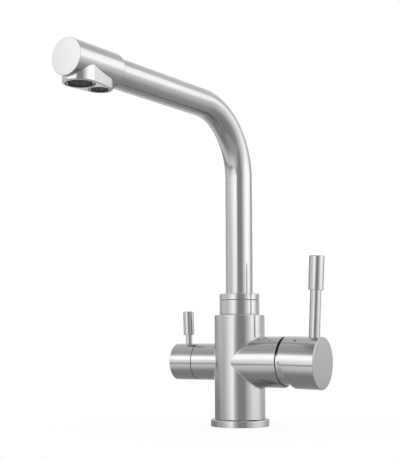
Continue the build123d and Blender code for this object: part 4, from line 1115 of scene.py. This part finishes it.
class TAP_OT_inner_finishes(TapOperator, bpy.types.Operator):
    """Give the solids that stay as they are their finishes"""

    bl_idname = "tap.inner_finishes"
    bl_label = "Inner finishes"

    def execute(self, context):
        finish = context.scene.tap_finishes
        finishes = {
            "turned_stainless": brushed_steel("steel_turned"),
            "brushed_stainless": brushed_steel("steel_plain"),
            "black_screw": grained("blackened_steel", finish.screw, 0.5, 0.3, metallic=0.8),
            "brass_part": grained("machined_brass", finish.brass, 0.8, 0.25, metallic=1.0),
            "aerator_metal": grained("aerator_metal", finish.aerator_metal, 0.6, 0.25, metallic=1.0),
            "aerator_plastic": grained("aerator_moulding", finish.aerator, 0.5, 0.35),
            "white_plastic": grained("white_moulding", finish.white_plastic, 0.93, 0.4),
            "grey_plastic": grained("grey_moulding", finish.grey_plastic, 0.8, 0.4),
            "ceramic": grained("ground_ceramic", finish.ceramic, 0.95, 0.15, coat=0.3),
            "seal_rubber": grained("seal_rubber", finish.rubber, 0.6, 0.6, relief=0.06 * MM),
        }
        for part in frame["record"]["subparts"]:
            node = frame["nodes"][part["node"]]
            node.data.materials.clear()
            node.data.materials.append(finishes[part["material_slot"]])
        return {"FINISHED"}


# Studio

# The soft light fields round the tap, with angles in degrees: how the turn from the camera's side is
# counted, the left and right limits with the softness of each, the low and high limits with the
# softness of each, and how much light the field adds. "turn" is negative on the left hand, "round"
# runs to the right all the way, and "away" is the same on both hands.
SOFT_BOXES = (
    ("turn", (-78, -15.5, 8, 2), (11, 32, 6, 6), 1.33),
    ("turn", (-60, -17, 26, 3), (3, 11, 4, 6), 1.2),
    ("turn", (-58, -26, 28, 6), (-7.5, 3, 4.5, 4), 1.08),
    ("turn", (-120, -74, 25, 25), (-1, 43, 5, 6), 0.45),
    ("turn", (46, 103, 24, 26), (-1.5, 7, 6, 5), 1.4),
    ("turn", (46, 115, 24, 12), (7, 38, 5, 10), 1.33),
    ("turn", (112, 126, 6, 3), (13, 38, 2, 6), 0.63),
    ("turn", (124, 150, 4, 10), (-3.2, 3, 2.5, 3), 0.25),
    ("turn", (44, 112, 26, 26), (-19, -1.5, 12, 6), 0.5),
    ("turn", (-45, 5, 15, 10), (-30, -9, 8, 3), 0.13),
    ("turn", (-50, 30, 15, 15), (-75, -12, 8, 4), 0.15),
    ("round", (196, 330, 14, 26), (-34, -11, 14, 5), 0.42),
    ("turn", (-178, -100, 1, 10), (-7, -1.5, 2, 1.5), -0.25),
    ("away", (124, 200, 12, 1), (14, 44, 8, 8), 0.27),
    ("away", (100, 200, 30, 1), (52, 95, 8, 1), 0.2),
    ("turn", (5, 120, 20, 14), (43, 80, 6, 8), 0.6),
    ("turn", (-82, -56, 5, 5), (45, 49, 2, 2), -0.11),
    ("turn", (-130, -84, 8, 6), (58, 62, 3, 3), -0.1),
    ("turn", (4, 40, 8, 8), (-26, -12, 3, 4), -0.2),
    ("turn", (-50, -12, 5, 6), (-12, -4, 4, 3), 0.16),
    ("turn", (40, 78, 10, 10), (17, 20, 4, 3), 0.14),
    ("away", (166, 200, 8, 1), (-22, -8, 4, 4), 0.3),
    ("turn", (-11, 25, 4, 4), (-17, 32, 5, 6), -0.2),
    ("turn", (-66, -42, 6, 5), (-10, -7, 1, 1), -0.8),
)

# Each lamp's place, width and power, and the point that all of them face
LAMPS = {
    "key_lamp": ((-0.9, -1.2, 1.3), 0.9, 11),
    "side_lamp": ((1.4, 0.2, 0.9), 0.8, 6),
    "back_lamp": ((-0.2, 1.3, 1.1), 0.9, 6),
}
LAMP_TARGET = Vector((0, -0.05, 0.15))

# The plain white that the camera sees round the tap
WHITE = {"Color": (1, 1, 1, 1), "Strength": 1.0}


def studio_world():
    """A white studio: white behind the tap, soft boxes round it and a darker room at the camera's side."""
    world = bpy.data.worlds.new("studio")
    bpy.context.scene.world = world
    world.use_nodes = True
    world.node_tree.nodes.clear()
    graph = Graph(world.node_tree)
    x, y, z = graph.parts(graph.node("ShaderNodeTexCoord", output="Generated"))
    view = math.radians(27.5)
    front = x * math.sin(view) - y * math.cos(view)
    side = x * math.cos(view) + y * math.sin(view)
    turn = graph.maths("ARCTAN2", side, front) * math.degrees(1)
    rise = graph.maths("ARCSINE", z) * math.degrees(1)
    round_turn = turn + graph.maths("LESS_THAN", turn, 0.0) * 360
    turns = {"turn": turn, "round": round_turn, "away": graph.maths("ABSOLUTE", turn)}

    def window(value, low, high, soft_low, soft_high):
        """One between two limits and nothing outside them, with soft sides."""
        rising = graph.ramp(value, low - soft_low, low + soft_low)
        falling = graph.ramp(value, high - soft_high, high + soft_high, 1.0, 0.0)
        return rising * falling

    dim, bright, dim_rise, bright_rise = 0.36, 0.6, -58.0, 5.0
    level = graph.ramp(rise, dim_rise, bright_rise, dim, bright)
    for kind, sideways, upright, strength in SOFT_BOXES:
        level = level + window(turns[kind], *sideways) * window(rise, *upright) * strength
    inputs = {"Color": graph.combine(level, level, level), "Strength": 1.0}
    studio = graph.node("ShaderNodeBackground", None, inputs)
    soft = graph.node("ShaderNodeBackground", None, {**WHITE, "Strength": 0.7})
    white = graph.node("ShaderNodeBackground", None, WHITE)
    glossy = graph.node("ShaderNodeLightPath", output="Is Glossy Ray")
    camera = graph.node("ShaderNodeLightPath", output="Is Camera Ray")
    lit = graph.node("ShaderNodeMixShader", None, {0: glossy, 1: soft, 2: studio})
    seen = graph.node("ShaderNodeMixShader", None, {0: camera, 1: lit, 2: white})
    graph.node("ShaderNodeOutputWorld", None, {0: seen})


def floor_material():
    """A white floor that shows the tap's shadow faintly."""
    material, graph, _ = new_material("floor")
    material.node_tree.nodes.clear()
    point = graph.node("ShaderNodeTexCoord", output="Object")
    darkest, lightest = 0.78, 0.82
    grain = graph.ramp(graph.noise(point, 60.0), 0.3, 0.7, darkest, lightest)
    plain = graph.node("ShaderNodeBsdfDiffuse", None, {"Color": graph.combine(grain, grain, grain)})
    white = graph.node("ShaderNodeEmission", None, WHITE)
    camera = graph.node("ShaderNodeLightPath", output="Is Camera Ray")
    glossy = graph.node("ShaderNodeLightPath", output="Is Glossy Ray")
    x, y, _ = graph.parts(point)
    near, far, white_near, white_far = 0.03, 0.3, 0.92, 1.0
    fade = graph.ramp(graph.maths("SQRT", x * x + y * y), near, far, white_near, white_far)
    seen = graph.node("ShaderNodeMixShader", None, {0: camera * fade, 1: plain, 2: white})
    clear = graph.node("ShaderNodeBsdfTransparent")
    seen = graph.node("ShaderNodeMixShader", None, {0: glossy, 1: seen, 2: clear})
    graph.node("ShaderNodeOutputMaterial", None, {0: seen})
    return material


def add_lamp(name, place, width, power):
    """A soft square lamp turned towards the tap."""
    light = bpy.data.lights.new(name, "AREA")
    light.energy = power
    light.size = width
    piece = bpy.data.objects.new(name, light)
    bpy.context.scene.collection.objects.link(piece)
    piece.location = place
    piece.rotation_euler = (LAMP_TARGET - Vector(place)).to_track_quat("-Z", "Y").to_euler()
    piece.visible_glossy = False


def veered(first, second, amount):
    """Two square directions turned together, the first towards the second."""
    ahead, aside = math.cos(amount), math.sin(amount)
    return first * ahead + second * aside, second * ahead - first * aside


def add_camera():
    """The camera where the photograph was taken from, with its lens given in the photograph's pixels."""
    view, yaw = math.radians(27.52), math.radians(-2.27)
    pitch, roll = math.radians(6.65), math.radians(-0.12)
    distance, height, pixels, lens_pixels = 922.33 * MM, 73.56 * MM, 460, 988.48
    ahead = Vector((-math.sin(view), math.cos(view), 0))
    right = Vector((math.cos(view), math.sin(view), 0))
    ahead, right = veered(ahead, right, yaw)
    ahead, up = veered(ahead, UP, pitch)
    right, up = veered(right, up, roll)
    data = bpy.data.cameras.new("camera")
    data.sensor_fit = "VERTICAL"
    data.sensor_height = 36
    data.lens = data.sensor_height * lens_pixels / pixels
    data.clip_start = 0.05
    camera = bpy.data.objects.new("camera", data)
    bpy.context.scene.collection.objects.link(camera)
    place = Matrix((right, up, -ahead)).transposed().to_4x4()
    place.translation = (distance * math.sin(view), -distance * math.cos(view), height)
    camera.matrix_world = place
    bpy.context.scene.camera = camera


class TAP_OT_stage(TapOperator, bpy.types.Operator):
    """Set up the white floor, the studio light and the camera"""

    bl_idname = "tap.stage"
    bl_label = "Studio"

    def execute(self, context):
        context.scene.view_settings.view_transform = "Standard"
        studio_world()
        half = 3.0
        corners = [(-half, -half, 0), (half, -half, 0), (half, half, 0), (-half, half, 0)]
        mesh = bpy.data.meshes.new("floor")
        mesh.from_pydata(corners, [], [(0, 1, 2, 3)])
        mesh.materials.append(floor_material())
        floor = link_mesh("floor", mesh)
        for name, (place, width, power) in LAMPS.items():
            add_lamp(name, place, width, power)
        add_camera()
        return {"FINISHED"}


# Add-on

STEPS = (
    TAP_OT_inner_finishes,
    TAP_OT_body,
    TAP_OT_flange,
    TAP_OT_swivel,
    TAP_OT_tube,
    TAP_OT_head,
    TAP_OT_aerators,
    TAP_OT_bonnet,
    TAP_OT_mixer_handle,
    TAP_OT_filter_handle,
    TAP_OT_stage,
)
GROUPS = {
    "tap_body": TapBodySizes,
    "tap_caps": TapCapSizes,
    "tap_levers": TapLeverSizes,
    "tap_spout": TapSpoutSizes,
    "tap_finishes": TapFinishes,
}


class TAP_PT_panel(bpy.types.Panel):
    """The steps and the sizes in the 3D view's sidebar"""

    bl_label = "Kitchen Mixer Tap"
    bl_idname = "TAP_PT_panel"
    bl_space_type = "VIEW_3D"
    bl_region_type = "UI"
    bl_category = "Mixer Tap"

    def draw(self, context):
        for step in STEPS:
            self.layout.operator(step.bl_idname)
        for name in GROUPS:
            group = getattr(context.scene, name)
            box = self.layout.box()
            for key in group.__annotations__:
                box.prop(group, key)


def register():
    for group in GROUPS.values():
        bpy.utils.register_class(group)
    for name, group in GROUPS.items():
        setattr(bpy.types.Scene, name, bpy.props.PointerProperty(type=group))
    for step in STEPS:
        bpy.utils.register_class(step)
    bpy.utils.register_class(TAP_PT_panel)


def unregister():
    bpy.utils.unregister_class(TAP_PT_panel)
    for step in reversed(STEPS):
        bpy.utils.unregister_class(step)
    for name, group in GROUPS.items():
        delattr(bpy.types.Scene, name)
        bpy.utils.unregister_class(group)


def main():
    """Build every piece in order."""
    register()
    for step in STEPS:
        group, name = step.bl_idname.split(".")
        getattr(getattr(bpy.ops, group), name)()


if __name__ == "__main__":
    main()
